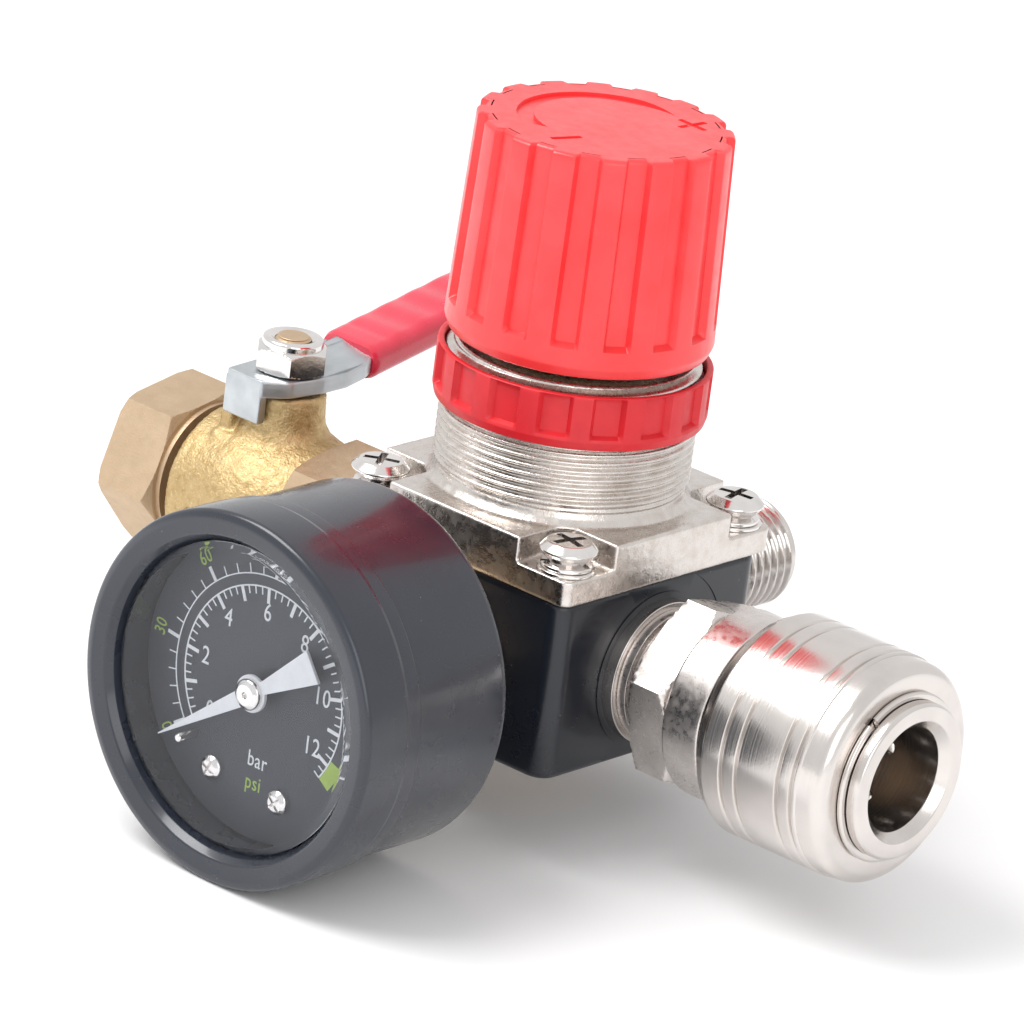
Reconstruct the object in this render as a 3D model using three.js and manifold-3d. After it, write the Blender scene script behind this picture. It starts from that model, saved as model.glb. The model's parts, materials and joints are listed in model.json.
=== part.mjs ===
// Air pressure regulator with pressure gauge, quick coupler and ball valve.
// Millimetres, +Z up along the adjusting knob's axis. The origin is the centre of the inlet
// nipple's open end. The regulator body is centred INLET_END in front of it (towards -Y):
// the gauge looks along -Y, the quick coupler points along +X and the ball valve along -X.

import * as THREE from "three";
import * as BufferGeometryUtils from "three/addons/utils/BufferGeometryUtils.js";
import Module from "manifold-3d";

const wasm = await Module();
wasm.setup();

// ---------------------------------------------------------------- driving dimensions

const INLET_END = 38.5;
const CLEARANCE = 0.3;
// The coupler's and the valve's common axis lies this far below the inlet's and the gauge's.
const OUTLET_DROP = 1.2;

const BODY = { half: 17.1, bottom: -11.6, top: 9.8, corner: 2.4 };
const FLANGE = { half: 17.8, top: 15.9, corner: 1.4, pocketStart: 9.9, pocketFloor: 12.9 };
const NECK = { radius: 14.8, top: 32.4, upperRadius: 12.4, roofBottom: 41, roofTop: 44, bore: 11.3 };
const SCREW = { place: 14.4, headRadius: 3.4, headTop: 16.5, shankRadius: 1.7, bottom: 1 };
const PORT = { bore: 6.5, thread: 6.2, depth: 8.3 };

const NUT = { bottom: 25.3, top: 31.7, radius: 15.75, bore: 14.95, pockets: 16 };
const KNOB = { bottom: 33.6, top: 59.05, lowRadius: 15.4, topRadius: 14.6, grooves: 16 };
const MAIN_SPRING = { bottom: 12.4, top: 33.2, meanRadius: 8.6, wire: 1.15, turns: 5.5 };
const SPRING_WIRE_SIDES = 5;

const DIAPHRAGM = { bottom: 9.9, top: 10.9, radius: 13 };
const POPPET = { guideBottom: -9.9, headBottom: -4.5, headTop: -2.0, headRadius: 3.7 };

const GAUGE = { bezelRadius: 21.5, caseRadius: 20.8, front: -52.7, bezelBack: -43.8, back: -28.5 };
const DIAL = { front: -46, thickness: 0.5, radius: 19.4 };
const POINTER = { restAngle: 216, length: 15.9, tail: 10.4, back: -47.6, thickness: 0.4 };
const MOVEMENT = { pivotDrop: 8.7, pinion: 1.2, sector: 7.2, linkDrop: 3, restTurn: 20 };

const COUPLER = { washerEnd: 18.6, hexStart: 22.6, hexEnd: 28.3, collarEnd: 33.6, mouth: 55.2, boreRadius: 6.15 };
const SLEEVE = { back: 34.6, front: 52.7, radius: 13.26, cavity: 11.55, cavityEnd: 41.2, bore: 9.5 };
const BALLS = { count: 6, radius: 1.5, circle: 7.2, station: 46.8 };

const VALVE = { centre: -42.4, outlet: -61.5, bodyStart: -26, hexEnd: -34.6, ballRadius: 6.4, bossTop: 14.4 };
const LEVER = { bottom: 14.7, thickness: 2, width: 8.6, bend: 5.5, slope: 11, tip: 59 };
const GRIP = { start: 10, end: 62.5, width: 8.8, skin: 1.0 };

// ---------------------------------------------------------------- materials

function finish(color, roughness, metalness) {
  return new THREE.MeshStandardMaterial({ color, roughness, metalness });
}

const NICKEL = finish(0xc9c4bd, 0.3, 1);
const CHROME = finish(0xdcdcdc, 0.12, 1);
const STEEL = finish(0x9a9a98, 0.4, 1);
const ZINC = finish(0xa9adb0, 0.45, 1);
const BRASS = finish(0xc09a52, 0.4, 1);
const BLACK_PAINT = finish(0x1b1d22, 0.3, 0);
const RED_PLASTIC = finish(0xd8262c, 0.4, 0);
const RED_VINYL = finish(0xc51f3c, 0.3, 0);
const RUBBER = finish(0x1d1d1d, 0.8, 0);
const DIAL_GREY = finish(0x3b3f49, 0.6, 0);
const WHITE_PAINT = finish(0xf2f2f2, 0.5, 0);
const GLASS = finish(0xe8eef0, 0.05, 0);
const PTFE = finish(0xf0efe8, 0.5, 0);

// ---------------------------------------------------------------- solids and booleans

function solid(geometry) {
  const bare = geometry.clone();
  bare.deleteAttribute("normal");
  bare.deleteAttribute("uv");
  const merged = BufferGeometryUtils.mergeVertices(bare, 1e-4);
  const corners = merged.index.array;
  const triangles = [];
  for (let i = 0; i < corners.length; i += 3) {
    const [a, b, c] = [corners[i], corners[i + 1], corners[i + 2]];
    if (a !== b && b !== c && c !== a) {
      triangles.push(a, b, c);
    }
  }
  const mesh = new wasm.Mesh({
    numProp: 3,
    vertProperties: Float32Array.from(merged.getAttribute("position").array),
    triVerts: Uint32Array.from(triangles),
  });
  return new wasm.Manifold(mesh);
}

function geometryOf(manifold) {
  const mesh = manifold.getMesh();
  const geometry = new THREE.BufferGeometry();
  geometry.setAttribute("position", new THREE.BufferAttribute(mesh.vertProperties, 3));
  geometry.setIndex(new THREE.BufferAttribute(mesh.triVerts, 1));
  geometry.computeVertexNormals();
  return geometry;
}

function cut(base, ...tools) {
  return geometryOf(tools.reduce((rest, tool) => rest.subtract(solid(tool)), solid(base)));
}

function join(base, ...others) {
  return geometryOf(others.reduce((whole, other) => whole.add(solid(other)), solid(base)));
}

function part(name, geometry, material) {
  const mesh = new THREE.Mesh(geometry, material);
  mesh.name = name;
  return mesh;
}

// ---------------------------------------------------------------- basic shapes

// A turned shape about the x, y or z axis: profile points are [radius, station along the axis].
function turned(axis, profile, segments = 24) {
  const area = profile.reduce((sum, [radius, station], i) => {
    const [nextRadius, nextStation] = profile[(i + 1) % profile.length];
    return sum + radius * nextStation - nextRadius * station;
  }, 0);
  const points = area > 0 ? [...profile] : [...profile].reverse();
  if (points.every(([radius]) => radius > 0)) {
    points.push(points[0]);
  }
  const outline = points.map(([radius, station]) => new THREE.Vector2(radius, station));
  const geometry = new THREE.LatheGeometry(outline, segments);
  if (axis === "z") {
    geometry.rotateX(Math.PI / 2);
  }
  if (axis === "x") {
    geometry.rotateZ(-Math.PI / 2);
  }
  return geometry;
}

function rod(axis, radius, from, to, segments = 16) {
  return turned(axis, [[0, from], [radius, from], [radius, to], [0, to]], segments);
}

function ring(axis, inner, outer, from, to, segments = 20) {
  return turned(axis, [[inner, from], [outer, from], [outer, to], [inner, to]], segments);
}

function hexPrism(axis, acrossFlats, from, to, cornerAngle = 0) {
  const radius = acrossFlats / Math.sqrt(3);
  const prism = rod("z", radius, from, to, 6);
  prism.rotateZ(THREE.MathUtils.degToRad(cornerAngle));
  if (axis === "x") {
    prism.rotateY(Math.PI / 2);
  }
  if (axis === "y") {
    prism.rotateX(-Math.PI / 2);
  }
  return prism;
}

function box(x0, x1, y0, y1, z0, z1) {
  const geometry = new THREE.BoxGeometry(x1 - x0, y1 - y0, z1 - z0);
  geometry.translate((x0 + x1) / 2, (y0 + y1) / 2, (z0 + z1) / 2);
  return geometry;
}

function roundedSquare(half, corner) {
  const shape = new THREE.Shape();
  const inner = half - corner;
  const corners = [[inner, inner, 0], [-inner, inner, 90], [-inner, -inner, 180], [inner, -inner, 270]];
  for (const [x, y, start] of corners) {
    const angle = THREE.MathUtils.degToRad(start);
    shape.absarc(x, y, corner, angle, angle + Math.PI / 2, false);
  }
  return shape;
}

function prism(shape, from, to, curveSegments = 4) {
  const geometry = new THREE.ExtrudeGeometry(shape, { depth: to - from, bevelEnabled: false, curveSegments });
  geometry.translate(0, 0, from);
  return geometry;
}

function polygon(points) {
  return new THREE.Shape(points.map(([x, y]) => new THREE.Vector2(x, y)));
}

class Helix extends THREE.Curve {
  constructor(axis, radius, from, to, turns) {
    super();
    Object.assign(this, { axis, radius, from, to, turns });
  }

  getPoint(t, target = new THREE.Vector3()) {
    const angle = t * this.turns * 2 * Math.PI;
    const along = this.from + t * (this.to - this.from);
    const [u, v] = [this.radius * Math.cos(angle), this.radius * Math.sin(angle)];
    return this.axis === "x" ? target.set(along, u, v) : target.set(u, v, along);
  }
}

// A coil spring between two stations. ExtrudeGeometry gives a full circle two sides per curve segment.
function spring(axis, meanRadius, wire, from, to, turns) {
  const section = new THREE.Shape().absarc(0, 0, wire, 0, 2 * Math.PI, false);
  const path = new Helix(axis, meanRadius, from + wire, to - wire, turns);
  const steps = Math.round(turns * 10);
  const curveSegments = SPRING_WIRE_SIDES / 2;
  return new THREE.ExtrudeGeometry(section, { extrudePath: path, steps, bevelEnabled: false, curveSegments });
}

function polar(radius, degrees) {
  const angle = THREE.MathUtils.degToRad(degrees);
  return [radius * Math.cos(angle), radius * Math.sin(angle)];
}

// ---------------------------------------------------------------- regulator body

function bodyBlock() {
  const { half, bottom, top, corner } = BODY;
  const portFloor = half - PORT.depth;
  return cut(
    prism(roundedSquare(half, corner), bottom, top),
    rod("z", 12.6, 6.8, top + 1, 24),
    rod("z", 2.2, -2, 8),
    rod("z", 4.6, bottom - 1, -0.6),
    rod("z", PORT.bore + 0.1, bottom - 1, -6.6),
    rod("x", PORT.bore, portFloor, half + 1).translate(0, 0, -OUTLET_DROP),
    rod("x", PORT.bore, -half - 1, -portFloor).translate(0, 0, -OUTLET_DROP),
    rod("y", PORT.bore, portFloor, half + 1),
    rod("y", 5, -half - 1, -portFloor),
    ...[[10.5, 0], [-10.5, 0], [0, -10.5]].map(([x, y]) => rod("z", 1.2, 0, 8, 8).translate(x, y, 0)),
    rod("y", 1.8, 3, portFloor + 1, 8).translate(0, 0, -3),
    ...cornerPlaces().map(([x, y]) => rod("z", SCREW.shankRadius + 0.2, 0.4, top + 1, 10).translate(x, y, 0)),
  );
}

function cornerPlaces() {
  const place = SCREW.place;
  return [[place, place], [-place, place], [-place, -place], [place, -place]];
}

// The cast bonnet: square flange with corner pockets, threaded neck and the spring's dome.
function bonnet() {
  const { radius, top, upperRadius, roofTop, roofBottom, bore } = NECK;
  const outside = FLANGE.half + 1;
  const pockets = [[1, 1], [-1, 1], [-1, -1], [1, -1]].map(([sx, sy]) => {
    const xs = [sx * FLANGE.pocketStart, sx * outside].sort((a, b) => a - b);
    const ys = [sy * FLANGE.pocketStart, sy * outside].sort((a, b) => a - b);
    return box(...xs, ...ys, FLANGE.pocketFloor, FLANGE.top + 1);
  });
  const flange = cut(prism(roundedSquare(FLANGE.half, FLANGE.corner), BODY.top, FLANGE.top), ...pockets);
  const neck = turned("z", [
    [0, BODY.top], [radius, BODY.top], [radius, top - 1.2], [radius - 1.2, top],
    [upperRadius, top], [upperRadius, roofTop - 1], [upperRadius - 1, roofTop], [0, roofTop],
  ], 32);
  return cut(
    join(flange, neck),
    rod("z", DIAPHRAGM.radius + CLEARANCE, BODY.top - 1, DIAPHRAGM.top + CLEARANCE, 24),
    rod("z", bore, BODY.top, roofBottom, 24),
    rod("z", 3.8, roofBottom - 1, roofTop + 1),
    ...cornerPlaces().map(([x, y]) => rod("z", SCREW.shankRadius + 0.3, 9, 14, 10).translate(x, y, 0)),
  );
}

function bonnetScrew() {
  const { headRadius, headTop, shankRadius, bottom } = SCREW;
  const floor = FLANGE.pocketFloor;
  const screw = turned("z", [
    [0, bottom], [shankRadius, bottom], [shankRadius, floor], [3.2, floor], [3.2, floor + 0.8],
    [2.7, floor + 1], [headRadius, floor + 2.4], [headRadius - 0.1, headTop - 0.7], [2.2, headTop], [0, headTop],
  ], 14);
  const slot = box(-2.2, 2.2, -0.5, 0.5, headTop - 1.4, headTop + 1);
  const crossSlot = box(-0.5, 0.5, -2.2, 2.2, headTop - 1.4, headTop + 1);
  return cut(screw, slot, crossSlot);
}

function panelNut() {
  const { bottom, top, radius, bore, pockets } = NUT;
  const pocketBoxes = [];
  for (let i = 0; i < pockets; i += 1) {
    const pocket = box(radius - 0.6, radius + 1, -1.1, 1.1, bottom + 1.4, top + 1);
    pocketBoxes.push(pocket.rotateZ(i * 2 * Math.PI / pockets));
  }
  return cut(ring("z", bore, radius, bottom, top, 32), ...pocketBoxes);
}

function knob() {
  const { bottom, top, lowRadius, topRadius, grooves } = KNOB;
  const shell = turned("z", [
    [0, top], [topRadius - 0.8, top], [topRadius, top - 0.8], [lowRadius, bottom + 1.6], [lowRadius - 0.7, bottom],
    [13.1, bottom], [12.9, top - 4.5], [6.6, top - 4.5], [6.6, 46.4], [4.5, 46.4], [4.5, top - 2.6], [0, top - 2.6],
  ], 32);
  const grips = [];
  for (let i = 0; i < grooves; i += 1) {
    const groove = rod("z", 1.5, bottom + 3.6, top + 1, 6).translate(KNOB.topRadius + 0.5, 0, 0);
    grips.push(groove.rotateZ((i + 0.5) * 2 * Math.PI / grooves));
  }
  return cut(shell, ...grips);
}

function adjustingScrew() {
  const shaft = turned("z", [
    [0, 20], [3.6, 20], [4, 20.6], [4, 39], [6.3, 39], [6.3, NECK.roofBottom - CLEARANCE],
    [3.4, NECK.roofBottom - CLEARANCE], [3.4, 46.6], [0, 46.6],
  ], 20);
  return join(shaft, hexPrism("z", 7, 45.8, 55.8));
}

function springSeat() {
  const top = MAIN_SPRING.top + 3;
  return turned("z", [
    [4.3, MAIN_SPRING.top - 2], [6.6, MAIN_SPRING.top - 2], [6.6, MAIN_SPRING.top],
    [10.7, MAIN_SPRING.top], [10.7, top], [4.3, top],
  ], 24);
}

function diaphragmPlate() {
  const floor = DIAPHRAGM.top;
  const face = MAIN_SPRING.bottom;
  return turned("z", [[0, floor], [10, floor], [10, face], [6.6, face], [6.6, face + 1.6], [0, face + 1.6]], 24);
}

function valvePoppet() {
  const { guideBottom, headBottom, headTop, headRadius } = POPPET;
  return turned("z", [
    [0, guideBottom], [1.3, guideBottom], [1.3, headBottom], [headRadius, headBottom], [headRadius, headTop],
    [1.2, headTop], [1.2, BODY.top], [0, BODY.top],
  ], 16);
}

function bottomPlug() {
  const { bottom } = BODY;
  const insert = turned("z", [
    [0, bottom - 2], [6.3, bottom - 2], [6.3, -6.9], [3.9, -6.9], [3.9, -9.2], [1.7, -9.2], [1.7, -12], [0, -12],
  ], 24);
  return join(insert, hexPrism("z", 14, bottom - 2.4, bottom - 0.02, 15));
}

function inletNipple() {
  const { half } = BODY;
  const threadRadius = 6.58;
  const tube = turned("y", [
    [0, half - PORT.depth + 0.5], [PORT.thread, half - PORT.depth + 0.5], [PORT.thread, half + 0.5],
    [threadRadius, half + 0.5], [threadRadius, INLET_END - 0.9], [threadRadius - 0.9, INLET_END], [0, INLET_END],
  ], 28);
  return cut(join(tube, hexPrism("y", 17, half, half + 5.5)), rod("y", 4.1, half - PORT.depth, INLET_END + 1));
}

function regulator() {
  const group = new THREE.Group();
  group.add(part("body_block", bodyBlock(), BLACK_PAINT));
  group.add(part("bonnet", bonnet(), NICKEL));
  cornerPlaces().forEach(([x, y], i) => {
    const screw = part(`bonnet_screw_${i + 1}`, bonnetScrew(), CHROME);
    screw.position.set(x, y, 0);
    group.add(screw);
  });
  group.add(part("panel_nut", panelNut(), RED_PLASTIC));
  group.add(part("knob", knob(), RED_PLASTIC));
  group.add(part("adjusting_screw", adjustingScrew(), STEEL));
  group.add(part("spring_seat", springSeat(), BRASS));
  const { meanRadius, wire, bottom, top, turns } = MAIN_SPRING;
  group.add(part("main_spring", spring("z", meanRadius, wire, bottom, top, turns), STEEL));
  group.add(part("diaphragm", rod("z", DIAPHRAGM.radius, DIAPHRAGM.bottom, DIAPHRAGM.top, 28), RUBBER));
  group.add(part("diaphragm_plate", diaphragmPlate(), ZINC));
  group.add(part("valve_poppet", valvePoppet(), BRASS));
  group.add(part("poppet_seal", ring("z", 1.5, 3.8, POPPET.headTop, -0.8, 16), RUBBER));
  group.add(part("poppet_spring", spring("z", 2.7, 0.35, -9.2, POPPET.headBottom, 4.5), STEEL));
  group.add(part("bottom_plug", bottomPlug(), BRASS));
  group.add(part("inlet_nipple", inletNipple(), NICKEL));
  return group;
}

// ---------------------------------------------------------------- pressure gauge

function gaugeSocket() {
  const { half } = BODY;
  const { back } = GAUGE;
  const stem = turned("y", [
    [0, -half + PORT.depth], [4.7, -half + PORT.depth], [4.7, back - 0.2], [4.2, back - 0.2],
    [4.2, back - 8], [0, back - 8],
  ], 20);
  const wrenchFlats = hexPrism("y", 14, back, -half - CLEARANCE, 30);
  return cut(join(stem, wrenchFlats), rod("y", 1.3, back - 6, -half + PORT.depth + 1, 12));
}

function gaugeCase() {
  const { caseRadius, back, bezelBack } = GAUGE;
  const wall = 0.9;
  return turned("y", [
    [5.1, back], [caseRadius - 3, back], [caseRadius - 0.9, back - 0.9], [caseRadius, back - 3],
    [caseRadius, bezelBack + CLEARANCE], [caseRadius - 0.4, bezelBack + CLEARANCE], [caseRadius - 0.4, -50.8],
    [caseRadius - 1.2, -50.8], [caseRadius - 1.2, back - 3], [caseRadius - 3.4, back - wall], [5.1, back - wall],
  ], 28);
}

function gaugeBezel() {
  const { bezelRadius, bezelBack, front, caseRadius } = GAUGE;
  const inner = caseRadius - 0.1;
  return turned("y", [
    [inner, bezelBack], [bezelRadius, bezelBack], [bezelRadius, front + 0.8], [bezelRadius - 0.8, front],
    [17.4, front], [17.2, front + 0.5], [inner, front + 0.5],
  ], 28);
}

function dialPlate() {
  const { front, thickness, radius } = DIAL;
  const screwHoles = dialScrewPlaces().map(([x, z]) => rod("y", 0.95, front - 1, front + 2, 8).translate(x, 0, z));
  return cut(rod("y", radius, front, front + thickness, 24), rod("y", 1.1, front - 1, front + 2, 10), ...screwHoles);
}

function dialScrewPlaces() {
  return [polar(12.5, 243), polar(12.5, 291)];
}

function dialScrew() {
  const { front } = DIAL;
  return turned("y", [
    [0, front - 0.6], [1.3, front - 0.6], [1.5, front], [0.65, front], [0.65, front + 2.4], [0, front + 2.4],
  ], 10);
}

// The C-shaped pressure tube with the foot that joins it to the socket.
function bourdonTube() {
  const [inner, outer, from, to] = [12.8, 14.2, -35.4, -31];
  const shape = new THREE.Shape();
  const [start, end] = [-70, 212].map(THREE.MathUtils.degToRad);
  shape.absarc(0, 0, outer, start, end, false);
  shape.absarc(0, 0, inner, end, start, true);
  const arc = prism(shape, from, to, 14).rotateX(Math.PI / 2);
  arc.translate(0, from + to, 0);
  const foot = box(-1.5, 5.6, from + 0.4, to - 0.4, -13.6, -12.2);
  const riser = box(-1.5, 1.5, from + 0.4, to - 0.4, -13, -4.6);
  return join(foot, riser, arc);
}

function movementFrame() {
  const plates = [[-37.4, -36.6], [-41.2, -40.4]].map(([front, back]) => box(-7.6, 7.6, front, back, -14.4, 7));
  const pillars = [[-6.4, -13.3], [6.4, -13.3], [-6.4, 5.8], [6.4, 5.8]].map(
    ([x, z]) => rod("y", 1, -41, -37, 8).translate(x, 0, z),
  );
  const dialBack = DIAL.front + DIAL.thickness;
  const dialPosts = dialScrewPlaces().map(([x, z]) => rod("y", 1.7, dialBack, -41, 10).translate(x, 0, z));
  const dialThreads = dialScrewPlaces().map(([x, z]) => rod("y", 0.9, DIAL.front, -42, 8).translate(x, 0, z));
  const bearings = [[0, 0], [0, -MOVEMENT.pivotDrop]].map(([x, z]) => rod("y", 0.9, -42, -36, 8).translate(x, 0, z));
  const frame = join(plates[0], plates[1], ...pillars, ...dialPosts);
  return cut(frame, ...dialThreads, ...bearings);
}

// The toothed sector turns on its own arbor and drives the pinion on the pointer's arbor.
function sectorGear() {
  const { pivotDrop, sector, linkDrop, restTurn } = MOVEMENT;
  const [left, right] = [polar(sector, 122), polar(sector, 58)];
  const fan = new THREE.Shape();
  fan.moveTo(-1, -linkDrop - 0.8);
  fan.lineTo(1, -linkDrop - 0.8);
  fan.lineTo(1.4, 1);
  fan.lineTo(right[0], right[1]);
  fan.absarc(0, 0, sector, THREE.MathUtils.degToRad(58), THREE.MathUtils.degToRad(122), false);
  fan.lineTo(left[0], left[1]);
  fan.lineTo(-1.4, 1);
  const plate = prism(fan, 38.6, 39.4, 10).rotateX(Math.PI / 2);
  const arbor = rod("y", 0.6, -41.1, -36.7, 8);
  const linkPin = rod("y", 0.4, -39, -37.7, 8).translate(0, 0, -linkDrop);
  const gear = join(plate, arbor, linkPin);
  return gear.rotateY(THREE.MathUtils.degToRad(restTurn)).translate(0, 0, -pivotDrop);
}

function tubeLink() {
  const { pivotDrop, linkDrop, restTurn } = MOVEMENT;
  const bar = box(-9.6, 0, -38.3, -37.9, -0.6, 0.6);
  const eye = rod("y", 1.1, -38.3, -37.9, 12);
  const link = cut(join(bar, eye), rod("y", 0.7, -39, -37, 10)).rotateY(THREE.MathUtils.degToRad(10));
  const [pinX, pinZ] = polar(linkDrop, -90 - restTurn);
  return link.translate(pinX, 0, pinZ - pivotDrop);
}

function pointerArbor() {
  return turned("y", [
    [0, -36.7], [0.6, -36.7], [0.6, -38.4], [MOVEMENT.pinion, -38.4], [MOVEMENT.pinion, -39.6],
    [0.6, -39.6], [0.6, POINTER.back - 0.3], [0, POINTER.back - 0.3],
  ], 10);
}

function pointer() {
  const { length, tail, back, thickness, restAngle } = POINTER;
  const blade = polygon([[-tail, -1.1], [0, -0.95], [length, -0.25], [length, 0.25], [0, 0.95], [-tail, 1.1]]);
  const hand = prism(blade, -back, -back + thickness).rotateX(Math.PI / 2);
  const hub = rod("y", 2.2, back - thickness, back);
  const shape = cut(join(hand, hub), rod("y", 0.9, back - 1, back + 1, 8));
  return shape.rotateY(-THREE.MathUtils.degToRad(restAngle));
}

function pointerCap() {
  const seat = POINTER.back - POINTER.thickness;
  return turned("y", [[0, seat], [1.8, seat], [1.75, seat - 0.8], [1.4, seat - 1], [0, seat - 1]], 12);
}

function gauge() {
  const group = new THREE.Group();
  const { front } = GAUGE;
  group.add(part("gauge_socket", gaugeSocket(), BRASS));
  group.add(part("gauge_case", gaugeCase(), BLACK_PAINT));
  group.add(part("gauge_bezel", gaugeBezel(), BLACK_PAINT));
  group.add(part("gauge_lens", rod("y", 20.3, front + 0.6, front + 1.6, 24), GLASS));
  group.add(part("dial_plate", dialPlate(), DIAL_GREY));
  const [pinX, pinZ] = polar(12.1, 223);
  group.add(part("dial_stop_pin", rod("y", 0.5, DIAL.front - 3.2, DIAL.front, 10).translate(pinX, 0, pinZ), CHROME));
  dialScrewPlaces().forEach(([x, z], i) => {
    const screw = part(`dial_screw_${i + 1}`, dialScrew(), CHROME);
    screw.position.set(x, 0, z);
    group.add(screw);
  });
  group.add(part("bourdon_tube", bourdonTube(), BRASS));
  group.add(part("movement_frame", movementFrame(), BRASS));
  group.add(part("sector_gear", sectorGear(), BRASS));
  group.add(part("tube_link", tubeLink(), STEEL));
  group.add(part("pointer_arbor", pointerArbor(), STEEL));
  group.add(part("pointer", pointer(), WHITE_PAINT));
  group.add(part("pointer_cap", pointerCap(), CHROME));
  return group;
}

// ---------------------------------------------------------------- quick coupler

function couplerBody() {
  const { washerEnd, hexStart, hexEnd, collarEnd, mouth, boreRadius } = COUPLER;
  const threadStart = BODY.half - PORT.depth + 0.5;
  const outside = turned("x", [
    [0, threadStart], [PORT.thread, threadStart], [PORT.thread, washerEnd], [7.8, washerEnd],
    [7.8, hexEnd - 0.5], [11.2, hexEnd - 0.5], [11.2, collarEnd], [9.2, collarEnd],
    [9.2, mouth - 2.4], [8.5, mouth - 2.4], [8.5, mouth - 1.5], [9.2, mouth - 1.5],
    [9.2, mouth - 0.4], [8.8, mouth], [0, mouth],
  ], 24);
  const bore = turned("x", [
    [0, 8], [3.6, 8], [3.6, 25], [5.9, 25], [5.9, 39], [boreRadius, 39], [boreRadius, mouth - 0.7],
    [boreRadius + 0.7, mouth], [boreRadius + 0.7, mouth + 1], [0, mouth + 1],
  ], 20);
  const ballHoles = ballPlaces().map(([y, z, angle]) => {
    const hole = rod("z", BALLS.radius + 0.2, 5, 10, 8);
    return hole.rotateX(THREE.MathUtils.degToRad(angle - 90)).translate(BALLS.station, 0, 0);
  });
  return cut(join(outside, hexPrism("x", 20.2, hexStart, hexEnd, 15)), bore, ...ballHoles);
}

function ballPlaces() {
  const places = [];
  for (let i = 0; i < BALLS.count; i += 1) {
    const angle = i * 360 / BALLS.count;
    places.push([...polar(BALLS.circle, angle), angle]);
  }
  return places;
}

function couplerSleeve() {
  const { back, front, radius, cavity, cavityEnd, bore } = SLEEVE;
  return turned("x", [
    [cavity, back], [radius - 0.8, back], [radius, back + 1.2], [radius, front - 2.6], [radius - 0.8, front - 0.8],
    [radius - 2.6, front], [bore, front], [bore, cavityEnd], [cavity, cavityEnd],
  ], 28);
}

function couplerPoppet() {
  return turned("x", [
    [0, 27], [1.5, 27], [1.5, 34.4], [5.2, 34.4], [5.2, 36.3], [3.8, 36.5], [3.8, 39.2], [2.6, 40.2], [0, 40.2],
  ], 16);
}

function quickCoupler() {
  const group = new THREE.Group();
  const { washerEnd, mouth, collarEnd } = COUPLER;
  group.add(part("coupler_body", couplerBody(), NICKEL));
  group.add(part("coupler_washer", ring("x", 6.6, 8.6, BODY.half, washerEnd), PTFE));
  group.add(part("coupler_sleeve", couplerSleeve(), NICKEL));
  group.add(part("sleeve_spring", spring("x", 10.35, 0.5, collarEnd, SLEEVE.cavityEnd, 3.5), STEEL));
  group.add(part("snap_ring", ring("x", 8.7, 10, mouth - 2.3, mouth - 1.6), STEEL));
  ballPlaces().forEach(([y, z], i) => {
    const ball = part(`locking_ball_${i + 1}`, new THREE.SphereGeometry(BALLS.radius, 8, 5), CHROME);
    ball.position.set(BALLS.station, y, z);
    group.add(ball);
  });
  group.add(part("coupler_seal", ring("x", 4.2, 5.6, 36.8, 38.6, 20), RUBBER));
  group.add(part("coupler_poppet", couplerPoppet(), BRASS));
  group.add(part("coupler_poppet_spring", spring("x", 3.6, 0.4, 25, 34.4, 4.5), STEEL));
  group.position.z = -OUTLET_DROP;
  return group;
}

// ---------------------------------------------------------------- ball valve

function valveBody() {
  const { centre, bodyStart, hexEnd, bossTop } = VALVE;
  const threadEnd = -BODY.half + PORT.depth - 0.5;
  const outside = turned("x", [
    [0, threadEnd], [PORT.thread, threadEnd], [PORT.thread, -BODY.half - 0.5], [6.58, -BODY.half - 0.5],
    [6.58, bodyStart], [8.8, bodyStart], [8.8, hexEnd], [9.9, centre + 4.6], [10.4, centre + 2.4], [10.5, centre],
    [10.4, centre - 2.4], [9.9, centre - 4.6], [9.7, centre - 8.8], [0, centre - 8.8],
  ], 24);
  const bore = turned("x", [
    [0, -8], [4.1, -8], [4.1, centre + 6.7], [6.8, centre + 6.7], [6.8, centre - 6.7],
    [8.1, centre - 6.7], [8.1, centre - 10], [0, centre - 10],
  ], 20);
  const boss = turned("z", [[0, 0], [4.9, 0], [4.6, bossTop], [0, bossTop]], 20).translate(centre, 0, 0);
  const stemHole = turned("z", [[0, 5], [2.3, 5], [2.3, bossTop - 3.2], [3.5, bossTop - 3.2], [3.5, bossTop + 1], [0, bossTop + 1]], 16);
  return cut(
    join(outside, hexPrism("x", 18.5, hexEnd, bodyStart, 40), boss),
    bore,
    stemHole.translate(centre, 0, 0),
  );
}

function valveEnd() {
  const { centre, outlet } = VALVE;
  const spigot = rod("x", 7.8, outlet + 5, centre - 7, 20);
  const shoulder = rod("x", 9.2, outlet + 6.5, centre - 9, 20);
  const bore = turned("x", [
    [0, centre], [4.1, centre], [4.1, outlet + 8.5], [5.9, outlet + 8.5],
    [5.9, outlet + 0.8], [6.7, outlet], [6.7, outlet - 1], [0, outlet - 1],
  ], 20);
  return cut(join(hexPrism("x", 18.5, outlet, outlet + 8.2, 40), shoulder, spigot), bore);
}

function valveBall() {
  const ball = new THREE.SphereGeometry(VALVE.ballRadius, 16, 10).rotateX(Math.PI / 2);
  const slot = box(-4.2, 4.2, -1.2, 1.2, 4.3, 8);
  return cut(ball, rod("y", 4.1, -8, 8), slot).translate(VALVE.centre, 0, 0);
}

function valveStem() {
  const stem = turned("z", [[0, 6.5], [2, 6.5], [2, 21.4], [1.7, 21.7], [0, 21.7]], 14);
  return join(stem, box(-1.8, 1.8, -0.9, 0.9, 4.6, 6.6)).translate(VALVE.centre, 0, 0);
}

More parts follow.
